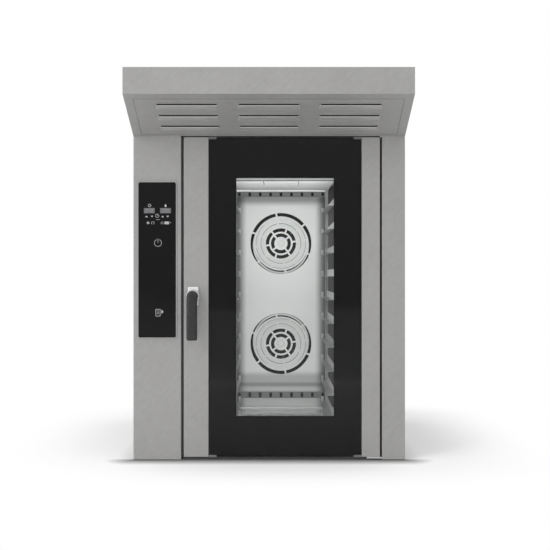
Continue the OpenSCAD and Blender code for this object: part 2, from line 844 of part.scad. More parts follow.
module door_stile_right() {
    from_front() color(outer_steel) difference() {
        union() {
            translate([0, 0, door_bottom]) linear_extrude(door_top - door_bottom) stile_outline(glass_r, door_r, -1);
            for (z = [door_bottom, door_top - 26])
                block([glass_r + 1, 1, z], [door_r - 1, door_t - 8, z + 26]);
        }
        bush_seats(bush_r);
    }
}

module door_rail(z0, z1, rebate_up) {
    step = door_t - inner_glass_t - 2;
    wall = 1.8;
    y0 = outer_glass_t + border_t;
    from_front() color(outer_steel) difference() {
        block([glass_l, y0, z0], [glass_r, door_t, z1]);
        block([glass_l + wall, y0 + wall, z0 + wall], [glass_r - wall, step - wall, z1 - wall]);
        block([glass_l - 1, step, rebate_up ? z1 - rebate : z0 - 1], [glass_r + 1, door_t + 1, rebate_up ? z1 + 1 : z0 + rebate]);
    }
}

module door_rail_top() door_rail(door_top - rail_top_h, door_top, false);

module door_rail_bottom() door_rail(door_bottom, door_bottom + rail_bottom_h, true);

module door_outer_glass() {
    from_front() color(clear_glass) upright(0, outer_glass_t) rounded(glass_l, door_bottom, glass_r, door_top, 2);
}

module door_glass_border() {
    from_front() color(black_glass) upright(outer_glass_t, border_t) difference() {
        translate([glass_l, door_bottom]) square([glass_r - glass_l, door_top - door_bottom]);
        rounded(glass_l + border_side, door_bottom + border_end, glass_r - border_side, door_top - border_end, 3);
    }
}

module door_inner_glass() {
    y = door_t - inner_glass_t - 2;
    from_front() color(clear_glass) upright(y, inner_glass_t)
        rounded(glass_l - rebate + 1, door_bottom + rail_bottom_h - rebate + 1,
            glass_r + rebate - 1, door_top - rail_top_h + rebate - 1, 3);
}

module glass_clips() {
    clip_w = 29;
    clip_h = 7;
    t = 1.5;
    from_front() color(chrome) for (x = [glass_l, glass_r - clip_w], top = [false, true]) {
        z = top ? door_top - clip_h : door_bottom;
        block([x, -t, top ? z : z - t], [x + clip_w, 0, z + clip_h + (top ? t : 0)]);
        block([x, 0, top ? door_top : door_bottom - t], [x + clip_w, 16, top ? door_top + t : door_bottom]);
    }
}

module hinge_bushes() {
    from_front() color(brass) difference() {
        for (z = [door_bottom, door_top - 26]) translate([hinge_x, hinge_y, z]) cylinder(r = bush_r, h = 26);
        translate([hinge_x, hinge_y, 0]) cylinder(r = hinge_r + run, h = body_h);
    }
}

// Its rounded block screws to the stile, and the lever turns in the round collar on it
module handle_escutcheon() {
    half_w = 19.25;
    half_h = 34.5;
    from_front() color(chrome) difference() {
        union() {
            upright(-block_t, block_t) rounded(spindle_x - half_w, spindle_z - half_h,
                spindle_x + half_w, spindle_z + half_h, 3);
            translate([spindle_x, -block_t, spindle_z]) rotate([90, 0, 0]) {
                cylinder(r = collar_r, h = collar_t - 3);
                translate([0, 0, collar_t - 3]) cylinder(r1 = collar_r, r2 = collar_r - 3, h = 3);
            }
        }
        rod_y(spindle_x, -block_t - collar_t - 1, spindle_z, spindle_r + run, block_t + collar_t + 2);
    }
}

// ---- Handle ----

module handle_lever() {
    neck_end = grip_out - grip_t;
    collar_face = block_t + collar_t;
    from_front() color(chrome) {
        rod_y(spindle_x, -neck_end, spindle_z, 14, neck_end - collar_face - 0.4);
        rod_y(spindle_x, -collar_face - 1, spindle_z, spindle_r, collar_face + door_t + 8);
        translate([0, door_t + 0.6, 0]) {
            rod_y(spindle_x, 0, spindle_z, 12, 6.4);
            block([spindle_x - 6, 0, spindle_z], [spindle_x + 6, 6.4, spindle_z + 51]);
        }
    }
}

// A round pad about the Y axis with rounded rims
module pad(r, t, edge) {
    rotate([90, 0, 0]) rotate_extrude($fn = 32) {
        square([r - edge, t]);
        translate([0, edge]) square([r, t - 2 * edge]);
        for (z = [edge, t - edge]) translate([r - edge, z]) circle(r = edge, $fn = 16);
    }
}

module handle_grip() {
    head_r = 20.5;
    bar_w = 38.8;
    corner_r = 9;
    foot_z = spindle_z + head_r - grip_l;
    from_front() color(grip_black) translate([spindle_x, grip_t - grip_out, 0]) {
        translate([0.5, 0, spindle_z]) pad(head_r, grip_t, 7);
        translate([-0.8, 0, 0]) hull() {
            translate([0, 0, spindle_z]) pad(bar_w / 2, grip_t, 7);
            translate([0, 0, foot_z + bar_w / 2]) pad(bar_w / 2, grip_t - 3, 7);
            for (x = [-1, 1]) translate([x * (bar_w / 2 - corner_r), 0, foot_z + corner_r + 1.5])
                pad(corner_r, grip_t - 3, 7);
        }
    }
}

// ---- Rack ----

// What is drawn about the rack's own axis
module at_rack() {
    from_front() translate([axis_x, axis_y, 0]) children();
}

module rack_top_plate() {
    rim = 8;
    at_rack() color(inner_steel) {
        translate([-rack_half_w, -rack_half_d, rack_top_z]) cube([2 * rack_half_w, 2 * rack_half_d, 2]);
        for (y = [-rack_half_d, rack_half_d - sheet])
            translate([-rack_half_w, y, rack_top_z - rim]) cube([2 * rack_half_w, sheet, rim + 1]);
        for (x = [-rack_half_w, rack_half_w - sheet])
            translate([x, -rack_half_d, rack_top_z + 1]) cube([sheet, 2 * rack_half_d, rim]);
        translate([0, 0, rack_top_z + 1]) cylinder(r = 30, h = 6);
        translate([0, 0, rack_top_z]) cylinder(r = pivot_r, h = chamber_ceiling + 28 - rack_top_z);
    }
}

module rack_base_plate() {
    rim = 9;
    at_rack() color(inner_steel) {
        translate([-rack_half_w, -rack_half_d, rack_base_z - 3]) cube([2 * rack_half_w, 2 * rack_half_d, 3]);
        for (y = [-rack_half_d, rack_half_d - sheet])
            translate([-rack_half_w, y, rack_base_z - rim]) cube([2 * rack_half_w, sheet, rim]);
        translate([0, 0, rack_base_z - 10]) cylinder(r = 44, h = 8);
        translate([0, 0, bottom_z - 6]) cylinder(r = drive_r, h = rack_base_z - bottom_z + 4);
    }
}

module rack_posts() {
    front_w = rack_half_w - leg_x - sheet;
    height = rack_top_z - rack_base_z;
    at_rack() color(inner_steel) for (s = [-1, 1]) side(s) {
        translate([leg_x + sheet, -rack_half_d + 2, rack_base_z]) cube([front_w, 20, height]);
        translate([leg_x - 6.5, rack_half_d - 2 - post_w, rack_base_z]) cube([post_w, post_w, height]);
    }
}

// Slotted beams across the rear posts
module rack_cross_beams() {
    top_h = 24;
    low_h = 28;
    half = leg_x - 6.5;
    beam_pitch = 46;
    at_rack() color(inner_steel) for (beam = [[rack_top_z - 30, top_h, 18], [138, low_h, 22]])
        upright(rack_half_d - 6, 2.5) difference() {
            translate([-half, beam[0]]) square([2 * half, beam[1]]);
            for (k = [-4:4]) translate([k * beam_pitch, beam[0] + beam[1] / 2]) rotate(90) slot(beam[2], 12);
        }
}

// One pressed L runner on the right of the rack, with its upturned stop at the rear
module runner() {
    t = sheet;
    stop_h = 22;
    translate([0, -rack_half_d + 2 + runner_l, 0]) rotate([90, 0, 0]) linear_extrude(runner_l)
        translate([leg_x, 0]) {
            translate([-flange_w + t, -t]) square([flange_w, t]);
            translate([0, -t]) square([t, leg_h + t]);
        }
    translate([leg_x - flange_w + t, -rack_half_d + runner_l - t, -t]) cube([10, t, stop_h + t]);
}

module runners(s) {
    at_rack() color(inner_steel) for (k = [0:levels - 1])
        translate([0, 0, first_level + k * pitch]) side(s) runner();
}

module runners_left() runners(-1);

module runners_right() runners(1);

module rack_bearings() {
    at_rack() color(brass) {
        difference() {
            union() {
                translate([0, 0, chamber_ceiling]) cylinder(r = 18, h = 30);
                translate([0, 0, chamber_ceiling + sheet]) cylinder(r = 32, h = 5);
            }
            translate([0, 0, chamber_ceiling - 1]) cylinder(r = pivot_r + run, h = 40);
        }
        difference() {
            union() {
                translate([0, 0, 80]) cylinder(r = 26, h = 11);
                translate([0, 0, chamber_floor]) cylinder(r = 36, h = 3);
            }
            translate([0, 0, 60]) cylinder(r = drive_r + run, h = 40);
        }
    }
}

module rack_gearmotor() {
    box = 52;
    motor_z = 36;
    at_rack() color(motor_grey) difference() {
        union() {
            translate([-box, -box, 22]) linear_extrude(58) rounded(0, 0, 2 * box, 2 * box, 10);
            translate([box - 4, 0, motor_z]) rotate([0, 90, 0]) cylinder(r = 21, h = 134);
            for (k = [0:9]) translate([box + 20 + k * 10, 0, motor_z]) rotate([0, 90, 0]) cylinder(r = 23, h = 5);
        }
        translate([0, 0, bottom_z - 12]) cylinder(r = drive_r + run, h = 40);
    }
}

base_rails();
levelling_feet();
bottom_panel();
side_panel_left();
side_panel_right();
rear_panel();
top_panel();
pillar_left();
pillar_right();
chamber_floor_pan();
chamber_wall_left();
chamber_wall_right();
chamber_ceiling_pan();
chamber_rear_wall();
chamber_front_frame();
door_gasket();
insulation();
fan_baffle();
heating_elements();
fan_motor_upper();
fan_motor_lower();
rack_gearmotor();
rack_bearings();
chamber_lamps();
steam_pipe();
temperature_probe();
drain_pipe();
water_valve();
cable_gland();
hood_shell();
louvre_panel();
hood_filter();
extractor_housing();
extractor_motor();
flue_spigot();
control_glass();
control_board();
strike_plate();
hinge_brackets();
door_stile_left();
door_stile_right();
door_rail_top();
door_rail_bottom();
door_outer_glass();
door_glass_border();
door_inner_glass();
glass_clips();
hinge_bushes();
handle_escutcheon();
handle_lever();
handle_grip();
rack_top_plate();
rack_base_plate();
rack_posts();
rack_cross_beams();
runners_left();
runners_right();
fan_wheel_upper();
fan_wheel_lower();
extractor_wheel();
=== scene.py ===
"""Finishes, trim, studio and camera of a rotating rack oven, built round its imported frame.

Lengths are in metres in the frame's own axes: X to the right, Y to the back, Z up. Places are often
given as the oven's maker gives them: millimetres to the right of the middle, behind the front of the
door's glass and over the floor. Box.of() reads a node's box in them, and facing_front() turns them
back into metres.
"""

import logging
import math
from dataclasses import dataclass, field
from enum import Enum
from functools import cached_property
from typing import Callable, Iterable, Sequence

import bmesh
import bpy
import numpy as np
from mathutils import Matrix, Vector


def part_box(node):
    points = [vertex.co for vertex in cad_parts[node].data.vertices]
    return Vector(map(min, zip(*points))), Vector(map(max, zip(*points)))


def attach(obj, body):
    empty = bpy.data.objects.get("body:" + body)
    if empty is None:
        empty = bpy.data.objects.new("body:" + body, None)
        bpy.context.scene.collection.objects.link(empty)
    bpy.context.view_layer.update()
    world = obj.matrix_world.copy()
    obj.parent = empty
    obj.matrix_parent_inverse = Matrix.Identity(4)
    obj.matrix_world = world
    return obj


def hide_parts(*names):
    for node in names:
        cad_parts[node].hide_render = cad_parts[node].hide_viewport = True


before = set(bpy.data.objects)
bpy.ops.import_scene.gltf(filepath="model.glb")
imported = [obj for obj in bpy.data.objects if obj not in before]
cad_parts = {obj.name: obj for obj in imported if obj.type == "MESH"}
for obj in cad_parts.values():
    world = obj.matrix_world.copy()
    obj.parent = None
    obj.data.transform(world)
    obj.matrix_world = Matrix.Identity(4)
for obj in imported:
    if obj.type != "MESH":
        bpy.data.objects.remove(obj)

log = logging.getLogger("rack_oven")

Colour = tuple[float, float, float]
Socket = bpy.types.NodeSocket
Value = float | Colour | Socket
Array = np.ndarray
Flat = Callable[[Array, Array, Array], Array]
Edges = tuple[float, float, float, float]

MM = 0.001
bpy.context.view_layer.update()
FRONT_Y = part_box("door_outer_glass")[0].y


# ---- Node trees -------------------------------------------------------------------------------


class Grain(Enum):
    """Which way the grain of a sheet runs on its face."""

    SLANTED = "slanted"
    UPRIGHT = "upright"
    LEVEL = "level"


class Graph:
    """One node tree, whose methods add nodes and give back their output sockets."""

    def __init__(self, tree: bpy.types.NodeTree) -> None:
        """Empty a tree and keep it.

        Args:
            tree: the tree of a material or of the world.
        """
        self.tree = tree
        tree.nodes.clear()

    def put(self, socket: Socket, value: Value) -> None:
        """Link a socket to an input, or set the input's own number or colour.

        Args:
            socket: the input.
            value: an output socket, a number or a colour.
        """
        if isinstance(value, bpy.types.NodeSocket):
            self.tree.links.new(value, socket)
        elif isinstance(value, tuple) and len(value) < len(getattr(socket, "default_value", value)):
            socket.default_value = (*value, 1.0)
        else:
            socket.default_value = value

    def node(self, kind: str, inputs: dict[str | int, Value] | None = None,
             **settings: str | bool) -> bpy.types.Node:
        """Add a node.

        Args:
            kind: the node's type, without its ShaderNode prefix.
            inputs: values or sockets by input name or number.
            **settings: the node's own properties.

        Returns:
            The node.
        """
        node = self.tree.nodes.new("ShaderNode" + kind)
        for key, value in settings.items():
            setattr(node, key, value)
        for key, value in (inputs or {}).items():
            self.put(node.inputs[key], value)
        return node

    def maths(self, operation: str, *values: Value) -> Socket:
        """Add a Math node on up to three values and give back its result."""
        node = self.node("Math", operation=operation)
        for socket, value in zip(node.inputs, values):
            self.put(socket, value)
        return node.outputs[0]

    def pick(self, test: Socket, yes: Value, no: Value) -> Socket:
        """Blend from no, at a test of 0, to yes, at a test of 1."""
        node = self.node("Mix", data_type="FLOAT")
        for socket, value in zip((node.inputs[0], node.inputs[2], node.inputs[3]), (test, no, yes)):
            self.put(socket, value)
        return node.outputs[0]

    def blend(self, factor: Value, low: Value, high: Value) -> Socket:
        """Blend two colours by a factor."""
        node = self.node("Mix", data_type="RGBA")
        for socket, value in zip((node.inputs[0], node.inputs[6], node.inputs[7]), (factor, low, high)):
            self.put(socket, value)
        return node.outputs[2]

    def span(self, value: Socket, low: float, high: float, out_low: float, out_high: float,
             kind: str = "LINEAR") -> Socket:
        """Carry a value's range from low..high to out_low..out_high, held at both ends."""
        inputs = {0: value, 1: low, 2: high, 3: out_low, 4: out_high}
        return self.node("MapRange", inputs, clamp=True, interpolation_type=kind).outputs[0]

    def ease(self, value: Socket, low: float, high: float, out_low: float, out_high: float) -> Socket:
        """Carry a value's range over as span does, but with soft ends."""
        return self.span(value, low, high, out_low, out_high, "SMOOTHSTEP")

    def product(self, *values: Value) -> Socket:
        """Multiply values together."""
        total = values[0]
        for value in values[1:]:
            total = self.maths("MULTIPLY", total, value)
        return total

    def gap(self, value: Value, centre: float) -> Socket:
        """Give how far a value is from a centre."""
        return self.maths("ABSOLUTE", self.maths("SUBTRACT", value, centre))

    def vector(self, x: Value, y: Value, z: Value) -> Socket:
        """Join three numbers into a vector."""
        return self.node("CombineXYZ", {0: x, 1: y, 2: z}).outputs[0]

    def parts(self, vector: Socket) -> list[Socket]:
        """Split a vector into its three numbers."""
        return list(self.node("SeparateXYZ", {0: vector}).outputs)

    def noise(self, vector: Socket, scale: float, detail: float = 2.0, roughness: float = 0.5) -> Socket:
        """Give a soft random value around a half at each point."""
        inputs = {"Vector": vector, "Scale": scale, "Detail": detail, "Roughness": roughness}
        return self.node("TexNoise", inputs).outputs[0]

    def bump(self, height: Socket, depth: float) -> Socket:
        """Turn a height of 0..1 into a normal, for relief of that depth in metres."""
        return self.node("Bump", {"Height": height, "Distance": depth, "Strength": 1.0}).outputs[0]

    def shade(self, colour: Colour, factor: Socket) -> Socket:
        """Scale a colour by a factor."""
        return self.node("VectorMath", {0: colour, "Scale": factor}, operation="SCALE").outputs[0]

    @cached_property
    def where(self) -> Socket:
        """A piece's own coordinates in metres."""
        return self.node("TexCoord").outputs["Object"]

    @cached_property
    def seen(self) -> Socket:
        """Whether the camera sees the surface, straight or through glass."""
        light = self.node("LightPath")
        return self.maths("MAXIMUM", light.outputs["Is Camera Ray"], light.outputs["Is Transmission Ray"])

    def grain_plane(self, grain: Grain) -> tuple[Socket, Socket]:
        """Give coordinates in the plane of whichever side of a box a point lies on.

        Args:
            grain: which way the grain runs.

        Returns:
            Metres along the grain and metres across it. On top faces, up is to the back.
        """
        x, y, z = self.parts(self.where)
        normal_x, _, normal_z = self.parts(self.node("TexCoord").outputs["Normal"])
        is_side, is_level = (self.maths("GREATER_THAN", self.maths("ABSOLUTE", normal), 0.6)
                             for normal in (normal_x, normal_z))
        across, up = self.pick(is_side, y, x), self.pick(is_level, y, z)
        if grain is Grain.UPRIGHT:
            return up, across
        if grain is Grain.LEVEL:
            return across, up
        half = math.sqrt(0.5)
        return (self.product(self.maths("ADD", across, up), half),
                self.product(self.maths("SUBTRACT", across, up), half))

    def streaks(self, along: Socket, aside: Socket, stretch: float, density: float) -> Socket:
        """Give drawn-out noise: long along the grain and dense across it.

        Args:
            along: metres along the grain.
            aside: metres across it.
            stretch: changes in a metre along the grain.
            density: streaks in a metre across it.

        Returns:
            A value around a half.
        """
        spot = self.vector(self.product(along, stretch), self.product(aside, density), density)
        return self.noise(spot, 1.0, 2.5)

    def wobble(self, *layers: tuple[Socket, float]) -> Socket:
        """Give 1 plus the departure of each layer's value from a half, times the layer's weight."""
        total: Value = 1.0
        for value, weight in layers:
            total = self.maths("MULTIPLY_ADD", self.maths("SUBTRACT", value, 0.5), weight, total)
        return total

    def finish(self, shader: Socket, kind: str = "OutputMaterial") -> None:
        """Join a shader to the tree's output."""
        self.put(self.node(kind).inputs[0], shader)


def new_finish(name: str) -> tuple[bpy.types.Material, Graph]:
    """Start a material.

    Args:
        name: the material's name.

    Returns:
        The material and the graph of its empty tree.
    """
    material = bpy.data.materials.new(name)
    material.use_nodes = True
    return material, Graph(material.node_tree)


# ---- The frame --------------------------------------------------------------------------------


@dataclass(frozen=True)
class Box:
    """A node's box in the maker's millimetres."""

    left: float
    front: float
    foot: float
    right: float
    back: float
    top: float

    @classmethod
    def of(cls, corners: tuple[Vector, Vector]) -> "Box":
        """Turn a box's low and high corners in metres into the maker's millimetres."""
        low, high = corners
        return cls(low.x / MM, (low.y - FRONT_Y) / MM, low.z / MM,
                   high.x / MM, (high.y - FRONT_Y) / MM, high.z / MM)


# ---- Finishes ---------------------------------------------------------------------------------


class Coat:
    """A finish made by one Principled shader, whose inputs each kind of finish works out."""

    def inputs(self, graph: Graph) -> dict[str, Value]:
        """Work out the shader's inputs.

        Args:
            graph: the material's empty node tree.

        Returns:
            Numbers, colours and sockets by input name.
        """
        raise NotImplementedError

    def build(self, name: str) -> bpy.types.Material:
        """Make the material of that name."""
        material, graph = new_finish(name)
        graph.finish(graph.node("BsdfPrincipled", self.inputs(graph)).outputs[0])
        return material


@dataclass(frozen=True)
class BrushedSteel(Coat):
    """Stainless sheet with a satin grain, faint clouds and hairline relief.

    Broad and fine streaks are given by how many there are in a metre along the grain and across it.
    """

    colour: Colour = (0.338, 0.335, 0.33)
    metal: float = 0.4
    roughness: float = 0.46
    grain: Grain = Grain.SLANTED
    hairline: float = 0.16
    cloud: float = 0.14
    broad: tuple[float, float] = (12.0, 95.0)
    fine: tuple[float, float] = (40.0, 420.0)

    def inputs(self, graph: Graph) -> dict[str, Value]:
        """Lay broad and fine streaks along the grain, over clouds and mottle."""
        along, aside = graph.grain_plane(self.grain)
        broad = graph.streaks(along, aside, *self.broad)
        fine = graph.streaks(along, aside, *self.fine)
        clouds = graph.noise(graph.where, 7.0, 3.0)
        mottle = graph.noise(graph.where, 46.0, 3.0, 0.6)
        tone = graph.wobble((broad, self.hairline * 0.8), (fine, self.hairline * 1.3),
                            (clouds, self.cloud * 0.7), (mottle, self.cloud))
        return {
            "Base Color": graph.shade(self.colour, tone),
            "Metallic": self.metal,
            "Roughness": graph.product(graph.wobble((fine, 0.5), (clouds, 0.3)), self.roughness),
            "Normal": graph.bump(fine, 0.00004),
        }


@dataclass(frozen=True)
class BaffleSteel(Coat):
    """Baffle sheet, bright in the middle, with painted shade towards its edges.

    Painted shade for the runners' soft shadows lowers its tone from bright_half to dull_half metres
    beside the fans' axis, and painted shadow under the rack's top lowers it from top_start to
    top_end over the floor. Low down it has a soft dark band and a dark streak, which are painted
    reflections of the rack's base, and a paler foot, which is painted light.
    """

    colour: Colour = (0.76, 0.76, 0.755)
    axis: float = 0.048
    bright_half: float = 0.148
    dull_half: float = 0.196
    side_level: float = 0.2
    top_start: float = 0.985
    top_end: float = 1.02
    top_level: float = 0.46
    band: tuple[float, float] = (0.222, 0.256)
    band_level: float = 0.58
    streak_height: float = 0.189
    streak_level: float = 0.62
    foot: tuple[float, float] = (0.165, 0.182)
    foot_level: float = 1.45

    def inputs(self, graph: Graph) -> dict[str, Value]:
        """Lay painted shade, painted reflections and a painted light over an upright grain."""
        x, _, z = graph.parts(graph.where)
        fine = graph.streaks(*graph.grain_plane(Grain.UPRIGHT), 22.0, 420.0)
        # Painted shade at the sides and the top, painted dark reflections in a band and a streak low down,
        # and painted light at the foot.
        side = graph.ease(graph.gap(x, self.axis), self.bright_half, self.dull_half, 1.0, self.side_level)
        top = graph.ease(z, self.top_start, self.top_end, 1.0, self.top_level)
        band = graph.ease(z, *self.band, self.band_level, 1.0)
        reflection_streak = graph.ease(graph.gap(z, self.streak_height), 0.002, 0.014, self.streak_level, 1.0)
        foot = graph.ease(z, *self.foot, self.foot_level, 1.0)
        return {
            "Base Color": graph.shade(self.colour, graph.product(graph.wobble((fine, 0.03)), side, top, band,
                                                                 reflection_streak, foot)),
            "Metallic": 0.35,
            "Roughness": graph.product(graph.wobble((fine, 0.4)), 0.42),
            "Normal": graph.bump(fine, 0.00002),
        }


@dataclass(frozen=True)
class WheelSteel(Coat):
    """Fan wheel sheet, bright on its front ring, with painted shade in thin rings at the slots' edges and
    inside its eye.
    """

    bright: Colour = (0.74, 0.74, 0.73)
    scorched: Colour = (0.02, 0.019, 0.018)
    axis: float = 0.048
    heights: tuple[float, float] = (0.372, 0.823)
    eye: float = 0.074
    beads: tuple[float, float] = (0.0905, 0.1128)

    def inputs(self, graph: Graph) -> dict[str, Value]:
        """Blend bright and painted shade by the distance from the nearer wheel's axis."""
        x, _, z = graph.parts(graph.where)
        over = graph.gap(x, self.axis)
        up = graph.maths("MINIMUM", *(graph.gap(z, height) for height in self.heights))
        radius = graph.maths("SQRT", graph.maths("ADD", graph.product(over, over), graph.product(up, up)))
        off_shade_ring = graph.maths("MINIMUM", *(graph.gap(radius, bead) for bead in self.beads))
        # Painted shade: dark inside the eye and in thin rings along the slots' edges.
        unshaded = graph.maths("MINIMUM", graph.span(radius, self.eye, self.eye + 0.002, 0.0, 1.0),
                            graph.ease(off_shade_ring, 0.0008, 0.0026, 0.3, 1.0))
        dust = graph.noise(graph.where, 120.0, 3.0)
        return {
            "Base Color": graph.blend(unshaded, self.scorched, self.bright),
            "Metallic": 0.5,
            "Roughness": graph.span(dust, 0.3, 0.7, 0.35, 0.5),
            "Normal": graph.bump(dust, 0.00005),
        }


@dataclass(frozen=True)
class Fleck:
    """Random marks of one size on a surface.

    Scale is how many there are in a metre and detail how ragged they are. Tone and gloss weigh what
    they do to the colour and to the roughness, and relief is their height in metres.
    """

    scale: float
    detail: float
    tone: float = 0.0
    gloss: float = 0.0
    relief: float = 0.0


HANDLING = (Fleck(38.0, 3.0, tone=0.08, gloss=0.9), Fleck(900.0, 2.0, gloss=0.5, relief=0.00001))
LATHE_MARKS = (Fleck(70.0, 3.0, tone=0.35), Fleck(1500.0, 1.0, relief=0.00003))
ORANGE_PEEL = (Fleck(16.0, 4.0, tone=0.22, gloss=0.4), Fleck(420.0, 2.0, tone=0.06, relief=0.00006))
WIPING = (Fleck(6.0, 3.0, tone=0.3),)
SPARK_TEXTURE = (Fleck(26.0, 3.0, tone=0.16, gloss=0.35), Fleck(1700.0, 2.0, tone=0.1, relief=0.00005))
RUBBER_TEXTURE = (SPARK_TEXTURE[0], Fleck(1700.0, 2.0, tone=0.1, relief=0.00008))
INK_COVER = (Fleck(700.0, 2.0, tone=0.3),)


@dataclass(frozen=True)
class Flecked(Coat):
    """An even finish with flecks: plated or turned metal, paint, plastic, enamelled glass or ink.

    Its roughness is a level that the flecks' gloss varies, or the two ends of what the first fleck
    runs through.
    """

    colour: Colour
    flecks: tuple[Fleck, ...]
    roughness: float | tuple[float, float]
    metal: float = 0.0
    specular: float = 0.5

    def inputs(self, graph: Graph) -> dict[str, Value]:
        """Vary the colour, the roughness and the relief with the flecks."""
        marks = [(fleck, graph.noise(graph.where, fleck.scale, fleck.detail)) for fleck in self.flecks]
        tone = graph.wobble(*((mark, fleck.tone) for fleck, mark in marks if fleck.tone))
        if isinstance(self.roughness, tuple):
            roughness = graph.span(marks[0][1], 0.3, 0.7, *self.roughness)
        else:
            gloss = graph.wobble(*((mark, fleck.gloss) for fleck, mark in marks if fleck.gloss))
            roughness = graph.product(gloss, self.roughness)
        inputs = {"Base Color": graph.shade(self.colour, tone), "Roughness": roughness,
                  "Metallic": self.metal, "Specular IOR Level": self.specular}
        inputs.update({"Normal": graph.bump(mark, fleck.relief) for fleck, mark in marks if fleck.relief})
        return inputs


@dataclass(frozen=True)
class SpangledZinc(Coat):
    """Galvanised sheet: crystals of zinc a centimetre across, each its own grey."""

    colour: Colour = (0.5, 0.51, 0.51)
    crystals: float = 95.0

    def inputs(self, graph: Graph) -> dict[str, Value]:
        """Give each crystal its grey and gloss, under a little dust."""
        cells = graph.node("TexVoronoi", {"Vector": graph.where, "Scale": self.crystals})
        crystal = graph.parts(cells.outputs["Color"])[0]
        dust = graph.noise(graph.where, 60.0, 3.0)
        return {
            "Base Color": graph.shade(self.colour, graph.wobble((crystal, 0.2), (dust, 0.2))),
            "Metallic": 1.0,
            "Roughness": graph.span(crystal, 0.0, 1.0, 0.42, 0.6),
            "Normal": graph.bump(crystal, 0.00003),
        }


@dataclass(frozen=True)
class HeatedSteel(Coat):
    """Heater tube blued and browned by its own heat."""

    cool: Colour = (0.32, 0.3, 0.29)
    warm: Colour = (0.2, 0.15, 0.12)

    def inputs(self, graph: Graph) -> dict[str, Value]:
        """Blend cool and warm in patches under a fine scale."""
        heat = graph.noise(graph.where, 14.0, 4.0)
        scale = graph.noise(graph.where, 350.0, 3.0)
        return {
            "Base Color": graph.blend(graph.span(heat, 0.35, 0.65, 0.0, 1.0), self.cool, self.warm),
            "Metallic": 1.0,
            "Roughness": graph.span(scale, 0.3, 0.7, 0.35, 0.6),
            "Normal": graph.bump(scale, 0.00008),
        }


@dataclass(frozen=True)
class ClearPane:
    """Oven glass: clear, with a faint green cast and the gloss of its two faces."""

    tint: Colour = (0.976, 0.981, 0.979)

    def build(self, name: str) -> bpy.types.Material:
        """Make the material of that name."""
        material, graph = new_finish(name)
        wave = graph.bump(graph.noise(graph.where, 3.0, 1.0), 0.0002)
        through = graph.node("BsdfTransparent", {"Color": self.tint}).outputs[0]
        gloss = graph.node("BsdfAnisotropic", {"Roughness": 0.03, "Normal": wave}).outputs[0]
        fresnel = graph.node("Fresnel", {"IOR": 1.3}).outputs[0]
        graph.finish(graph.node("MixShader", {0: fresnel, 1: through, 2: gloss}).outputs[0])
        return material


@dataclass(frozen=True)
class MineralWool(Coat):
    """Pressed mineral wool: tangled fibres with darker hollows."""

    colour: Colour = (0.62, 0.55, 0.36)

    def inputs(self, graph: Graph) -> dict[str, Value]:
        """Tangle fibres over tufts."""
        x, y, z = graph.parts(graph.where)
        tufts = graph.noise(graph.where, 45.0, 4.0, 0.7)
        fibres = graph.noise(graph.vector(graph.product(x, 3.0), y, z), 520.0, 3.0)
        return {
            "Base Color": graph.shade(self.colour, graph.wobble((tufts, 0.9), (fibres, 0.5))),
            "Roughness": 0.95,
            "Normal": graph.bump(graph.maths("ADD", tufts, fibres), 0.0015),
        }


@dataclass(frozen=True)
class CircuitBoard(Coat):
    """Green lacquer over copper tracks."""

    lacquer: Colour = (0.02, 0.1, 0.045)
    track: Colour = (0.05, 0.19, 0.08)

    def inputs(self, graph: Graph) -> dict[str, Value]:
        """Raise the tracks at the edges of square cells."""
        cells = graph.node("TexVoronoi", {"Vector": graph.where, "Scale": 130.0}, distance="MANHATTAN")
        edge = graph.span(cells.outputs["Distance"], 0.42, 0.46, 0.0, 1.0)
        return {
            "Base Color": graph.blend(edge, self.lacquer, self.track),
            "Roughness": graph.span(edge, 0.0, 1.0, 0.28, 0.36),
            "Normal": graph.bump(edge, 0.00004),
        }


def grey(level: float) -> Colour:
    """Give an even grey."""
    return level, level, level


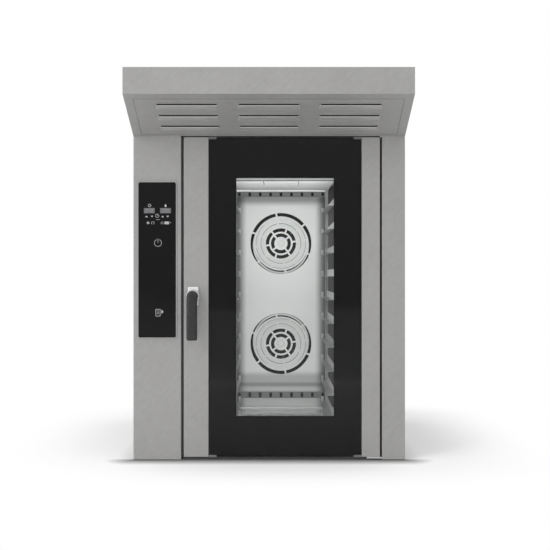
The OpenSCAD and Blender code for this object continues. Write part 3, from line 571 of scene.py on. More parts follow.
class Finish(Enum):
    """Every finish on the oven."""

    OUTER_STEEL = BrushedSteel()
    CHAMBER_STEEL = BrushedSteel(colour=(0.74, 0.74, 0.735), metal=0.6, roughness=0.42, grain=Grain.UPRIGHT,
                                 hairline=0.03, cloud=0.03)
    RACK_STEEL = BrushedSteel(colour=grey(0.56), metal=0.8, roughness=0.3, grain=Grain.LEVEL,
                              hairline=0.08, cloud=0.05)
    # A lighter copy of the outer steel; on the hatch's louvres it is painted light.
    PRESSED_STEEL = BrushedSteel(colour=(0.44, 0.437, 0.43), metal=0.4, roughness=0.4,
                                 hairline=0.12, cloud=0.08)
    # A darker copy of the chamber's steel; on the chamber's side walls it is painted shade.
    WALL_STEEL = BrushedSteel(colour=grey(0.3), metal=0.75, roughness=0.3, grain=Grain.UPRIGHT,
                              hairline=0.05, cloud=0.06)
    BEAM_STEEL = BrushedSteel(colour=grey(0.19), metal=0.6, roughness=0.34, grain=Grain.LEVEL,
                              hairline=0.07, cloud=0.05)
    # A lighter copy of the chamber's steel; on the rack's top plate it is painted light on the shaded
    # underside.
    PLATE_STEEL = BrushedSteel(colour=grey(0.93), metal=0.3, roughness=0.42, grain=Grain.LEVEL,
                               hairline=0.03, cloud=0.03)
    MIRROR_PLATE = Flecked(grey(0.95), HANDLING, roughness=0.05, metal=0.6)
    BLOCK_STEEL = BrushedSteel(colour=grey(0.88), metal=0.45, roughness=0.24, grain=Grain.LEVEL,
                               hairline=0.03, cloud=0.02)
    BAFFLE_STEEL = BaffleSteel()
    WHEEL_STEEL = WheelSteel()
    COLLAR_STEEL = BrushedSteel(colour=(0.62, 0.62, 0.63), metal=0.85, roughness=0.2, grain=Grain.LEVEL,
                                hairline=0.02, cloud=0.04)
    SCORCHED_STEEL = HeatedSteel(cool=(0.03, 0.028, 0.027), warm=(0.02, 0.018, 0.016))
    ZINC_SHEET = SpangledZinc()
    BASE_PAINT = Flecked((0.045, 0.045, 0.048), ORANGE_PEEL, roughness=0.6)
    HEATER_STEEL = HeatedSteel()
    MOTOR_PAINT = Flecked((0.13, 0.15, 0.18), ORANGE_PEEL, roughness=0.45)
    BRASS = Flecked((0.62, 0.47, 0.22), LATHE_MARKS, roughness=(0.24, 0.42), metal=1.0)
    POLISHED_STEEL = Flecked((0.86, 0.86, 0.87), HANDLING, roughness=0.14, metal=1.0)
    CLEAR_GLASS = ClearPane()
    BLACK_GLASS = Flecked((0.0055, 0.0055, 0.0057), WIPING, roughness=(0.06, 0.14), specular=0.22)
    ENAMEL = Flecked((0.0045, 0.0045, 0.0047), WIPING, roughness=(0.4, 0.5), specular=0.03)
    GASKET_RUBBER = Flecked((0.02, 0.02, 0.021), RUBBER_TEXTURE, roughness=0.7)
    WOOL = MineralWool()
    BLACK_PLASTIC = Flecked((0.018, 0.018, 0.019), SPARK_TEXTURE, roughness=0.5)
    GRIP_PLASTIC = Flecked((0.02, 0.02, 0.0212), SPARK_TEXTURE, roughness=0.27)
    BOARD = CircuitBoard()
    DISPLAY = Flecked((0.115, 0.115, 0.12), INK_COVER, roughness=(0.3, 0.5))
    PALE_INK = Flecked(grey(0.36), INK_COVER, roughness=(0.3, 0.5))
    GREY_INK = Flecked((0.24, 0.24, 0.245), INK_COVER, roughness=(0.3, 0.5))

    @property
    def slot(self) -> str:
        """The finish's slot: its name in lower case."""
        return self.name.lower()

    def material(self) -> bpy.types.Material:
        """Give this finish's material, made at its first use."""
        name = f"{self.slot}_finish"
        return bpy.data.materials.get(name) or self.value.build(name)


# ---- Surfaces ---------------------------------------------------------------------------------


class Body(Enum):
    """The moving bodies of the frame."""

    ROOT = "root"
    DOOR = "door"
    HANDLE = "handle"
    RACK = "rack"


def grid_faces(rows: int, columns: int, round_rows: bool = False, round_columns: bool = False) -> Array:
    """Number the four corners of each cell of a grid of points.

    Args:
        rows: points down the grid.
        columns: points along it.
        round_rows: whether the last row joins the first.
        round_columns: whether the last column joins the first.

    Returns:
        One row of four corner numbers for each cell.
    """
    down = np.arange(rows if round_rows else rows - 1)[:, None]
    along = np.arange(columns if round_columns else columns - 1)[None, :]
    below, beside = (down + 1) % rows, (along + 1) % columns
    corners = [down * columns + along, down * columns + beside,
               below * columns + beside, below * columns + along]
    return np.stack([np.broadcast_to(c, (down.size, along.size)) for c in corners], -1).reshape(-1, 4)


@dataclass
class Shape:
    """Points and faces that grow as simple shapes are added to them."""

    points: Array = field(default_factory=lambda: np.zeros((0, 3)))
    faces: list[Array] = field(default_factory=list)

    def add(self, points: Array, faces: Iterable[Sequence[int]]) -> "Shape":
        """Add points and the faces that number them from 0.

        Args:
            points: the new corners.
            faces: their faces.

        Returns:
            This shape.
        """
        start = len(self.points)
        self.points = np.vstack([self.points, np.asarray(points, float).reshape(-1, 3)])
        self.faces += (np.asarray(face) + start for face in faces)
        return self

    def grid(self, surface: Array, round_rows: bool = False, round_columns: bool = False) -> "Shape":
        """Add a surface given as a grid of points, rows by columns by 3."""
        rows, columns = surface.shape[:2]
        return self.add(surface, grid_faces(rows, columns, round_rows, round_columns))

    def lathe(self, profile: Array, centre: Vector, axis: str = "y", around: int = 48) -> "Shape":
        """Add a profile of radius and height turned about an axis through a centre.

        A point of the surface is centre + radius (cos a, sin a) in the plane across the axis, plus
        height along the axis, for a from 0 to a full turn.

        Args:
            profile: rows of radius and height in metres, from one end to the other.
            centre: the point where the height is 0.
            axis: "x", "y" or "z".
            around: points round the axis.

        Returns:
            This shape.
        """
        angle = np.linspace(0.0, 2 * math.pi, around, endpoint=False)
        radius, height = np.asarray(profile, float).T
        surface = np.empty((len(radius), around, 3))
        order = {"x": (1, 2, 0), "y": (0, 2, 1), "z": (0, 1, 2)}[axis]
        surface[..., order[0]] = radius[:, None] * np.cos(angle)
        surface[..., order[1]] = radius[:, None] * np.sin(angle)
        surface[..., order[2]] = height[:, None]
        return self.grid(surface + np.array(centre), round_columns=True)

    def prism(self, outline: Array, low: float, high: float, flat: Flat) -> "Shape":
        """Add a flat outline drawn out between two levels.

        Args:
            outline: rows of two coordinates, once round.
            low: the first level.
            high: the second level.
            flat: turns arrays of the two coordinates and the level into points.

        Returns:
            This shape.
        """
        count = len(outline)
        first, second = np.asarray(outline, float).T
        rings = [flat(first, second, np.full(count, level)) for level in (low, high)]
        around = np.arange(count)
        sides = np.stack([around, (around + 1) % count, (around + 1) % count + count, around + count], -1)
        return self.add(np.vstack(rings), [*sides, around[::-1], around + count])

    def band(self, outer: Array, inner: Array, low: float, high: float, flat: Flat) -> "Shape":
        """Add the frame between two flat outlines of as many points, drawn out between two levels.

        Args:
            outer: the outer outline, rows of two coordinates, once round.
            inner: the inner outline.
            low: the first level.
            high: the second level.
            flat: turns arrays of the two coordinates and the level into points.

        Returns:
            This shape.
        """
        loops = [flat(outline[:, 0], outline[:, 1], np.full(len(outline), level))
                 for outline, level in ((outer, low), (outer, high), (inner, high), (inner, low))]
        return self.grid(np.stack(loops), round_rows=True, round_columns=True)

    def piece(self, name: str, finish: Finish, body: Body = Body.ROOT, smooth_below: float = 40.0,
              facing: Vector | None = None) -> bpy.types.Object:
        """Make a piece of the oven and let it ride on its body.

        Args:
            name: the piece's name.
            finish: its finish.
            body: the body that carries it.
            smooth_below: edges that bend by fewer degrees are shaded smooth.
            facing: the way that an open sheet looks.

        Returns:
            The new object.
        """
        mesh = bpy.data.meshes.new(name)
        mesh.from_pydata(self.points.tolist(), [], [list(map(int, face)) for face in self.faces])
        work = bmesh.new()
        work.from_mesh(mesh)
        bmesh.ops.remove_doubles(work, verts=work.verts, dist=1e-6)
        bmesh.ops.recalc_face_normals(work, faces=work.faces)
        if facing and sum((face.normal * face.calc_area() for face in work.faces), Vector()).dot(facing) < 0:
            bmesh.ops.reverse_faces(work, faces=work.faces)
        work.to_mesh(mesh)
        work.free()
        mesh.shade_smooth()
        mesh.set_sharp_from_angle(angle=math.radians(smooth_below))
        mesh.materials.append(finish.material())
        piece = bpy.data.objects.new(name, mesh)
        bpy.context.scene.collection.objects.link(piece)
        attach(piece, body.value)
        log.info("piece %s: %d faces on %s", name, len(mesh.polygons), body.value)
        return piece


def facing_front(x: Array, z: Array, depth: Array) -> Array:
    """Place a drawing in millimetres of x and z at depths behind the front of the glass."""
    return np.stack([x * MM, FRONT_Y + depth * MM, z * MM], -1)


def facing_up(x: Array, depth: Array, z: Array) -> Array:
    """Place a drawing of x and depth at heights over the floor, all in millimetres."""
    return facing_front(x, z, depth)


def facing_side(depth: Array, z: Array, x: Array) -> Array:
    """Place a drawing of depth and z at distances to the right, all in millimetres."""
    return facing_front(x, z, depth)


def arc(x: float, z: float, radius: float, turn: Array) -> Array:
    """Give the points round a middle at a radius and at angles against the clock from the right."""
    return np.stack([x + radius * np.cos(turn), z + radius * np.sin(turn)], -1)


def rounded_outline(x0: float, z0: float, x1: float, z1: float, radius: float, steps: int = 5) -> Array:
    """Draw a rectangle whose corners are quarter circles.

    Args:
        x0: left edge.
        z0: lower edge.
        x1: right edge.
        z1: upper edge.
        radius: of the corners.
        steps: points on each corner.

    Returns:
        The outline, once round against the clock.
    """
    quarter = np.linspace(0.0, math.pi / 2, steps)
    corners = [(x1, z0, -math.pi / 2, -1, 1), (x1, z1, 0.0, -1, -1), (x0, z1, math.pi / 2, 1, -1),
               (x0, z0, math.pi, 1, 1)]
    return np.vstack([arc(x + sx * radius, z + sz * radius, radius, quarter + start)
                      for x, z, start, sx, sz in corners])


def grown(box: Edges, margin: float) -> Edges:
    """Widen a rectangle, given by its left, lower, right and upper edges, by a margin all round."""
    left, foot, right, top = box
    return left - margin, foot - margin, right + margin, top + margin


def circle_outline(x: float, z: float, radius: float, steps: int = 32) -> Array:
    """Draw a circle."""
    return arc(x, z, radius, np.linspace(0.0, 2 * math.pi, steps, endpoint=False))


def stroke_outline(x0: float, z0: float, x1: float, z1: float, width: float) -> Array:
    """Draw a straight stroke of a given width between two points."""
    along = np.array([x1 - x0, z1 - z0], float)
    aside = np.array([-along[1], along[0]]) / np.hypot(*along) * width / 2
    ends = np.array([[x0, z0], [x1, z1]], float)
    return np.array([ends[0] - aside, ends[1] - aside, ends[1] + aside, ends[0] + aside])


def pan_head(shape: Shape, centre: Vector, axis: str, outward: float, radius: float = 0.0042,
             rise: float = 0.62) -> None:
    """Add a pan-head screw with a hexagon socket.

    Its profile rises from the rim as a quarter ellipse, is flat on top, and drops into the socket.

    Args:
        shape: what the screw is added to.
        centre: the point of the sheet under the head.
        axis: the screw's axis.
        outward: 1 or -1, the way along the axis that the head stands.
        radius: of the head.
        rise: the head's height, as a share of its radius.
    """
    level, well = 0.62, 0.32 * rise
    turn = np.linspace(0.0, math.pi / 2, 4)
    rim = np.stack([radius * (level + (1 - level) * np.cos(turn)), radius * rise * np.sin(turn)], -1)
    socket = np.array([[0.4, rise], [0.38, well], [0.0, well]]) * radius
    profile = np.vstack([[[radius, -0.1 * radius]], rim, socket])
    profile[:, 1] *= outward
    shape.lathe(profile, centre, axis, around=12)


def add_bevel(piece: bpy.types.Object, width: float, segments: int = 2, angle: float = 40.0) -> None:
    """Round a piece's sharp edges.

    Args:
        piece: the object.
        width: the rounding's width in metres.
        segments: faces across it.
        angle: edges that bend by more degrees are rounded.
    """
    bevel = piece.modifiers.new("rounding", "BEVEL")
    bevel.width = width
    bevel.segments = segments
    bevel.limit_method = "ANGLE"
    bevel.angle_limit = math.radians(angle)
    bevel.harden_normals = True


def dress(nodes: Iterable[str], finish: Finish, fold: float = 0.0, plain: bool = False) -> None:
    """Give frame nodes their finish, and their sheet edges a small rounding.

    Args:
        nodes: the nodes' names.
        finish: their finish.
        fold: radius of the edges in metres, 0 for none.
        plain: whether the triangles of a level face are joined first, for large sheets with slots.
    """
    for name in nodes:
        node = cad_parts[name]
        node.data.materials.clear()
        node.data.materials.append(finish.material())
        if fold:
            node.modifiers.new("weld", "WELD").merge_threshold = 1e-5
            if plain:
                sheet = node.modifiers.new("plain_sheet", "DECIMATE")
                sheet.decimate_type = "DISSOLVE"
                sheet.angle_limit = math.radians(0.2)
            add_bevel(node, fold, angle=50.0)
            node.modifiers.new("even_shading", "WEIGHTED_NORMAL").keep_sharp = True
        log.info("node %s: %s", name, finish.slot)


# ---- Studio -----------------------------------------------------------------------------------


@dataclass
class Studio:
    """White studio: floor, curved backdrop, soft light all round, and the photographer's camera.

    Near the oven the paper shows the light that falls on it, with the oven's shadow. On the paper's
    colour for the eye a contact shadow is painted as well, down to ahead_level within
    contact_ahead metres in front of the footprint and to aside_level within contact_aside
    beside it. From white_from to white_to metres away it goes over to plain white for the eye. The
    footprint is the half width, the front and the back of the body on the floor. The softbox stands
    softbox_turn degrees to the left, fades over softbox_half degrees beside its middle and over
    softbox_reach above and below. The room's light goes over to the overhead light within upward.
    Those two are heights of a direction one metre long.
    """

    lens: float = 70.95
    camera_place: Colour = (0.0213, -4.452, 0.681)
    floor_half: float = 9.0
    curve_radius: float = 2.5
    floor_level: float = 0.0
    sky_level: float = 1.0
    white_from: float = 0.12
    white_to: float = 0.6
    footprint: tuple[float, float, float] = (0.5, -0.462, 0.748)
    contact_ahead: float = 0.105
    contact_aside: float = 0.07
    room_level: float = 0.36
    overhead_level: float = 1.25
    softbox_level: float = 1.2
    softbox_turn: float = 62.0
    softbox_half: tuple[float, float] = (10.0, 24.0)
    softbox_reach: tuple[float, float] = (0.5, 0.75)
    upward: tuple[float, float] = (0.02, 0.7)
    ahead_level: float = 0.2
    aside_level: float = 0.78

    def build(self) -> None:
        """Make the camera, the world, the floor and the lamps."""
        self.place_camera()
        self.light_world()
        self.lay_floor()
        self.hang_lights()

    def place_camera(self) -> None:
        """Stand the camera in front of the door, level, at the height of the handle's collar."""
        data = bpy.data.cameras.new("camera")
        data.lens = self.lens
        data.sensor_width = 36.0
        data.clip_end = 100.0
        camera = bpy.data.objects.new("camera", data)
        camera.location = self.camera_place
        camera.rotation_euler = (math.radians(90.0), 0.0, 0.0)
        bpy.context.scene.collection.objects.link(camera)
        bpy.context.scene.camera = camera

    def light_world(self) -> None:
        """Light the room from all round: white to the eye, and softer than white to the oven.

        The light that falls on the oven is room_level at eye height, overhead_level above, and has
        an upright softbox to the front left.
        """
        world = bpy.data.worlds.new("studio")
        bpy.context.scene.world = world
        world.use_nodes = True
        graph = Graph(world.node_tree)
        x, y, z = graph.parts(graph.node("TexCoord").outputs["Generated"])
        upward = graph.span(z, *self.upward, 0.0, 1.0)
        level = graph.pick(upward, self.overhead_level, self.room_level)
        turn = graph.maths("ARCTAN2", x, graph.product(y, -1.0))
        off_box = graph.gap(turn, -math.radians(self.softbox_turn))
        box = graph.span(off_box, *(math.radians(half) for half in self.softbox_half), 1.0, 0.0)
        low = graph.span(graph.maths("ABSOLUTE", z), *self.softbox_reach, 1.0, 0.0)
        lit = graph.maths("MULTIPLY_ADD", graph.product(box, low), self.softbox_level, level)
        strength = graph.pick(graph.seen, self.sky_level, lit)
        background = graph.node("Background", {"Color": (1.0, 1.0, 1.0), "Strength": strength}).outputs[0]
        graph.finish(background, "OutputWorld")

    def lay_floor(self) -> None:
        """Lay a white floor that curves up into the backdrop behind the oven.

        Its section is level, then a quarter circle of curve_radius, then upright.
        """
        half, radius = self.floor_half, self.curve_radius
        turn = np.linspace(0.0, math.pi / 2, 13)
        depth = np.concatenate([[-2 * half], half + radius * np.sin(turn), [half + radius]])
        level = np.concatenate([[0.0], radius * (1 - np.cos(turn)), [half]]) + self.floor_level
        side = np.array([-2 * half, 2 * half])
        shape = (len(depth), len(side))
        surface = np.stack([np.broadcast_to(side, shape), np.broadcast_to(depth[:, None], shape),
                            np.broadcast_to(level[:, None], shape)], -1)
        mesh = bpy.data.meshes.new("studio_floor")
        mesh.from_pydata(surface.reshape(-1, 3).tolist(), [], grid_faces(len(depth), 2).tolist())
        mesh.shade_smooth()
        mesh.materials.append(self.make_paper())
        floor = bpy.data.objects.new("studio_floor", mesh)
        bpy.context.scene.collection.objects.link(floor)

    def make_paper(self) -> bpy.types.Material:
        """Make the floor's paper: one white with a painted contact shadow for the eye, one for the light, a
        duller one for mirrors.
        """
        material, graph = new_finish("studio_paper")
        x, y, _ = graph.parts(graph.where)
        half_width, front, back = self.footprint
        beyond = (graph.maths("SUBTRACT", graph.maths("ABSOLUTE", x), half_width),
                  graph.maths("SUBTRACT", front, y), graph.maths("SUBTRACT", y, back))
        offset = graph.vector(*(graph.maths("MAXIMUM", distance, 0.0) for distance in beyond))
        away = graph.node("VectorMath", {0: offset}, operation="LENGTH").outputs["Value"]
        # Painted contact shadow round the oven's footprint, deeper in front than beside it.
        in_front = graph.span(y, front - 0.002, front + 0.03, 1.0, 0.0)
        painted_contact_shadow = graph.pick(in_front, graph.span(away, 0.0, self.contact_ahead, self.ahead_level, 1.0),
                            graph.span(away, 0.0, self.contact_aside, self.aside_level, 1.0))
        straight = graph.blend(graph.seen, grey(0.93), graph.shade(grey(0.84), painted_contact_shadow))
        in_mirror = graph.node("LightPath").outputs["Is Glossy Ray"]
        colour = graph.blend(in_mirror, straight, grey(0.55))
        paper = graph.node("BsdfDiffuse", {"Color": colour}).outputs[0]
        far = graph.ease(away, self.white_from, self.white_to, 0.0, 1.0)
        white = graph.node("Emission", {"Strength": self.sky_level}).outputs[0]
        mixed = graph.node("MixShader", {0: graph.product(graph.seen, far), 1: paper, 2: white})
        graph.finish(mixed.outputs[0])
        return material

    def add_area_light(self, name: str, spot: Vector, target: Vector, size: tuple[float, float],
                       power: float) -> None:
        """Hang a soft rectangular lamp that no mirror shows.

        Args:
            name: the lamp's name.
            spot: where it hangs.
            target: the point it faces.
            size: its width and height in metres.
            power: watts.
        """
        data = bpy.data.lights.new(name, "AREA")
        data.shape = "RECTANGLE"
        data.size, data.size_y = size
        data.energy = power
        lamp = bpy.data.objects.new(name, data)
        lamp.location = spot
        lamp.rotation_euler = (target - spot).to_track_quat("-Z", "Y").to_euler()
        lamp.visible_camera = False
        lamp.visible_glossy = False
        bpy.context.scene.collection.objects.link(lamp)

    def hang_lights(self) -> None:
        """Hang the key light to the front left, one over the oven, and a low one for the hood's slope."""
        for name, spot, target, size, power in (
                ("key_light", (-2.2, -3.4, 2.6), (0.0, -0.4, 0.7), (1.4, 1.4), 45.0),
                ("floor_light", (0.0, 0.2, 4.6), (0.0, 0.0, 0.0), (5.0, 5.0), 4.0),
                ("fill_light", (0.0, -3.6, 0.25), (0.0, -0.5, 1.3), (2.4, 0.4), 9.0)):
            self.add_area_light(name, Vector(spot), Vector(target), size, power)


def light_chamber(studio: Studio) -> None:
    """Light the inside of the baking chamber from its front, as its own lamps do.

    Args:
        studio: the studio that hangs the lamps.
    """
    inset, ahead, size = 0.16, 0.03, (0.5, 0.3)
    low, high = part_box("chamber_wall_left")
    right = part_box("chamber_wall_right")[0].x
    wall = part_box("fan_baffle")[0].y
    middle = Vector(((low.x + right) / 2, (low.y + wall) / 2, (low.z + high.z) / 2))
    for name, z, power in (("chamber_light_top", high.z - inset, 4.8),
                           ("chamber_light_low", low.z + inset, 2.9)):
        spot = Vector((middle.x, low.y + ahead, z))
        studio.add_area_light(name, spot, Vector((middle.x, wall, z)), size, power)


# ---- The oven ---------------------------------------------------------------------------------


@dataclass
class Cabinet:
    """The fixed body: panels, pillars, base, feet and what the back carries.

    Sizes are in millimetres, the fold's radius in metres. A gap seal is given by its left and right
    edges and its depth, and the black strip of painted shade under the door by its left, lower, right
    and upper edges.
    """

    fold: float = 0.0007
    screw_pitch: float = 185.0
    screw_inset: float = 16.0
    gap_seals: tuple[tuple[str, float, float, float], ...] = (("left", -327.5, -317.6, 4.0),
                                                              ("right", 408.8, 413.0, 28.0))
    gap_seal_ends: tuple[float, float] = (12.0, 1188.0)
    kick_strip: Edges = (-318.0, 1.2, 412.0, 10.0)

    def build(self) -> None:
        """Dress the cabinet's nodes and add its screws, gap seals and the black strip of painted shade under
        the door.
        """
        dress(("pillar_left", "pillar_right", "side_panel_left", "side_panel_right"), Finish.OUTER_STEEL,
              self.fold, plain=True)
        dress(("strike_plate", "hinge_brackets"), Finish.POLISHED_STEEL, self.fold)
        dress(("rear_panel", "bottom_panel", "top_panel"), Finish.ZINC_SHEET, self.fold, plain=True)
        dress(("base_rails",), Finish.BASE_PAINT, self.fold)
        dress(("levelling_feet", "cable_gland"), Finish.BLACK_PLASTIC)
        dress(("water_valve",), Finish.BRASS)
        dress(("drain_pipe",), Finish.CHAMBER_STEEL)
        dress(("insulation",), Finish.WOOL)
        dress(("rack_gearmotor", "fan_motor_upper", "fan_motor_lower"), Finish.MOTOR_PAINT)
        self.drive_rear_screws()
        self.drive_side_screws()
        self.make_gap_seals()
        self.make_kick_strip()

    def drive_rear_screws(self) -> None:
        """Drive pan-head screws round the rear panel's edge at an even pitch."""
        low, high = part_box("rear_panel")
        inset = self.screw_inset * MM
        left, right, foot, top = low.x + inset, high.x - inset, low.z + inset, high.z - inset
        across = np.linspace(left, right, round((right - left) / (self.screw_pitch * MM)) + 1)
        upward = np.linspace(foot, top, round((top - foot) / (self.screw_pitch * MM)) + 1)[1:-1]
        shape = Shape()
        for x, z in ([(x, z) for x in across for z in (foot, top)]
                     + [(x, z) for z in upward for x in (left, right)]):
            pan_head(shape, Vector((x, high.y, z)), "y", 1.0)
        shape.piece("rear_panel_screws", Finish.POLISHED_STEEL)

    def drive_side_screws(self) -> None:
        """Drive screws flush with the sheet down the rear edge and along the foot of each side panel."""
        for name, outward in (("left", -1.0), ("right", 1.0)):
            low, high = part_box(f"side_panel_{name}")
            inset = self.screw_inset * MM
            x = low.x if outward < 0 else high.x
            upward = np.linspace(low.z + inset, high.z - inset, 7)
            along = np.linspace(low.y + 4 * inset, high.y - inset, 7)[:-1]
            shape = Shape()
            for y, z in [(high.y - inset, z) for z in upward] + [(y, low.z + inset) for y in along]:
                pan_head(shape, Vector((x, y, z)), "x", outward, rise=0.04)
            shape.piece(f"side_panel_{name}_screws", Finish.POLISHED_STEEL)

    def make_gap_seals(self) -> None:
        """Make the black rubber strips that close the gaps on both sides of the door."""
        foot, top = self.gap_seal_ends
        for name, left, right, depth in self.gap_seals:
            outline = rounded_outline(left, foot, right, top, 1.2)
            shape = Shape().prism(outline, depth, depth + 2.0, facing_front)
            shape.piece(f"door_gap_seal_{name}", Finish.GASKET_RUBBER)

    def make_kick_strip(self) -> None:
        """Make the black strip under the door, painted shade in the gap there."""
        shape = Shape().prism(rounded_outline(*self.kick_strip, 1.0), 8.0, 10.0, facing_front)
        shape.piece("kick_strip", Finish.BASE_PAINT)


@dataclass
class Hood:
    """The extraction hood with its louvred hatch, filter, extractor and flue.

    Sizes are in millimetres, the fold's radius and the flue collar's sizes in metres. Places on its
    slope are given by x, by the way down the slope from the front band, and by the height over the
    sheet. Offsets and steps are the grid's lines beside a louvre's middle and behind its open edge.
    The rear lip is given by its left, lower, right and upper edges.
    """

    fold: float = 0.0007
    overhang: float = 286.0
    band_height: float = 92.0
    drop: float = 108.0
    half_width: float = 500.0
    hatch_side: float = 32.0
    hatch_front: float = 35.0
    hatch_rear: float = 12.0
    rows: tuple[float, ...] = (70.0, 149.0, 227.0)
    pitch: float = 286.0
    louvre_half: float = 110.0
    louvre_depth: float = 35.0
    louvre_rise: float = 7.4
    lip_roll: float = 3.4
    louvre_taper: float = 3.0
    cheek: float = 3.2
    offsets: tuple[float, ...] = (-112.0, -110.0, -109.2, -108.2, -107.2, -106.0, -104.6, -103.0, -50.0, 0.0,
                                  50.0, 103.0, 104.6, 106.0, 107.2, 108.2, 109.2, 110.0, 112.0)
    steps: tuple[float, ...] = (-3.0, 0.0, 0.0, 0.8, 2.0, 4.5, 8.0, 12.0, 17.0, 22.0, 27.0, 31.0, 35.0, 38.0)
    rear_lip: Edges = (-326.0, 1188.8, 408.0, 1194.6)
    collar_width: float = 0.028
    collar_sheet: float = 0.0018
    collar_screws: int = 8

    def build(self) -> None:
        """Dress the hood's nodes and make its hatch and seals."""
        dress(("hood_shell", "flue_spigot"), Finish.OUTER_STEEL, self.fold, plain=True)
        dress(("hood_filter",), Finish.SCORCHED_STEEL)
        dress(("extractor_housing", "extractor_wheel"), Finish.ZINC_SHEET)
        dress(("extractor_motor",), Finish.MOTOR_PAINT)
        self.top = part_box("hood_shell")[1].z / MM
        self.slope_length = math.hypot(self.overhang, self.drop)
        self.make_hatch()
        self.make_hatch_seal()
        self.make_rear_lip()
        self.make_flue_collar()

    def on_slope(self, x: Array, along: Array, over: Array) -> Array:
        """Turn places on the slope into points."""
        cosine, sine = self.overhang / self.slope_length, self.drop / self.slope_length
        depth = -self.overhang + along * cosine - over * sine
        return facing_front(x, self.top - self.band_height - along * sine - over * cosine, depth)

    def make_hatch(self) -> None:
        """Press the hatch's nine louvres out of one sheet.

        Over each louvre the sheet rises by louvre_rise (1 - t) - lip_roll exp(-way / 1 mm), where way
        runs down the slope from the louvre's open edge and t is the way over louvre_depth, from 0 to
        1. The rise is times 3 c^2 - 2 c^3, where c goes from 0 to 1 within a cheek of the louvre's
        end, which lies louvre_taper further in at its open edge. The open edge is a cut: its row of
        the grid is there twice, once flat and once raised.
        """
        half, rows, steps = self.half_width - self.hatch_side, np.array(self.rows), len(self.steps)
        centres = np.array([-self.pitch, 0.0, self.pitch])
        x = np.concatenate([[-half], (centres[:, None] + self.offsets).ravel(), [half]])
        along = np.concatenate([[self.hatch_front], (rows[:, None] + self.steps).ravel(),
                                [self.slope_length - self.hatch_rear]])
        raised = np.concatenate([[0.0], np.tile(np.arange(steps) >= 2, len(rows)), [0.0]])
        nearest = rows[np.argmin(np.abs(along[:, None] - rows - self.louvre_depth / 2), 1)]
        t = np.clip((along - nearest) / self.louvre_depth, 0.0, 1.0)
        aside = np.min(np.abs(x[:, None] - centres), 1)
        end = self.louvre_half - self.louvre_taper * (1 - t)
        cheek = np.clip((end[:, None] - aside[None, :]) / self.cheek, 0.0, 1.0)
        lift = self.louvre_rise * (1 - t) - self.lip_roll * np.exp(-t * self.louvre_depth)
        over = (raised * lift * (t < 1))[:, None] * (3 * cheek ** 2 - 2 * cheek ** 3)
        surface = self.on_slope(*(np.broadcast_to(way, over.shape) for way in (x, along[:, None])), over)
        faces = grid_faces(len(along), len(x)).reshape(len(along) - 1, len(x) - 1, 4)
        whole = np.ones(len(along) - 1, bool)
        whole[2 + steps * np.arange(len(rows))] = False
        kept = faces[whole].reshape(-1, 4)
        pressed = over.ravel()[kept].max(1) > 0.01
        # The pressed louvres take a lighter copy of the hatch's steel, as painted light on their tilted
        # faces.
        for name, chosen, finish in (("louvre_hatch", ~pressed, Finish.OUTER_STEEL),
                                     ("pressed_louvres", pressed, Finish.PRESSED_STEEL)):
            sheet = Shape().add(surface, kept[chosen]).piece(name, finish, Body.ROOT, 35.0,
                                                             Vector((0.0, -0.35, -0.94)))
            thicken = sheet.modifiers.new("sheet", "SOLIDIFY")
            thicken.thickness = 0.0012
            thicken.offset = -1.0
            sheet.modifiers.new("flat_sheet", "WEIGHTED_NORMAL").keep_sharp = True
            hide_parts("louvre_panel")

    def make_hatch_seal(self) -> None:
        """Lay the thin black seal in the joint round the hatch."""
        half = self.half_width - self.hatch_side
        box = -half, self.hatch_front, half, self.slope_length - self.hatch_rear
        outer = rounded_outline(*grown(box, 0.9), 1.5)
        inner = rounded_outline(*grown(box, -0.1), 1.0)
        shape = Shape().band(outer, inner, -0.6, 0.1, self.on_slope)
        shape.piece("hatch_seal", Finish.GASKET_RUBBER)

    def make_flue_collar(self) -> None:
        """Turn the flanged collar at the foot of the flue spigot, and drive its eight screws."""
        low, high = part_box("flue_spigot")
        radius = (high.x - low.x) / 2
        centre = Vector(((low.x + high.x) / 2, (low.y + high.y) / 2, self.top * MM))
        turn = np.linspace(0.0, math.pi / 2, 5)
        fillet = np.stack([radius + 0.006 - 0.005 * np.sin(turn), 0.0068 - 0.005 * np.cos(turn)], -1)
        rim = radius + self.collar_width
        profile = np.vstack([[[rim, 0.0], [rim, self.collar_sheet]], fillet,
                             [[radius + 0.001, 0.009], [radius + 0.0002, 0.009], [radius + 0.0002, 0.0]]])
        shape = Shape().lathe(np.vstack([profile, profile[:1]]), centre, "z", around=72)
        shape.piece("flue_collar", Finish.OUTER_STEEL)
        screws = Shape()
        turns = np.linspace(0.0, 2 * math.pi, self.collar_screws, endpoint=False)
        for angle in turns + math.pi / self.collar_screws:
            spot = Vector((math.cos(angle), math.sin(angle), 0.0)) * (radius + 0.018)
            pan_head(screws, centre + spot + Vector((0.0, 0.0, self.collar_sheet)), "z", 1.0)
        screws.piece("flue_collar_screws", Finish.POLISHED_STEEL)

    def make_rear_lip(self) -> None:
        """Make the rubber lip that closes the gap between the hood and the top of the door."""
        shape = Shape().prism(rounded_outline(*self.rear_lip, 1.0), -1.4, 1.0, facing_front)
        shape.piece("hood_lip_seal", Finish.GASKET_RUBBER)


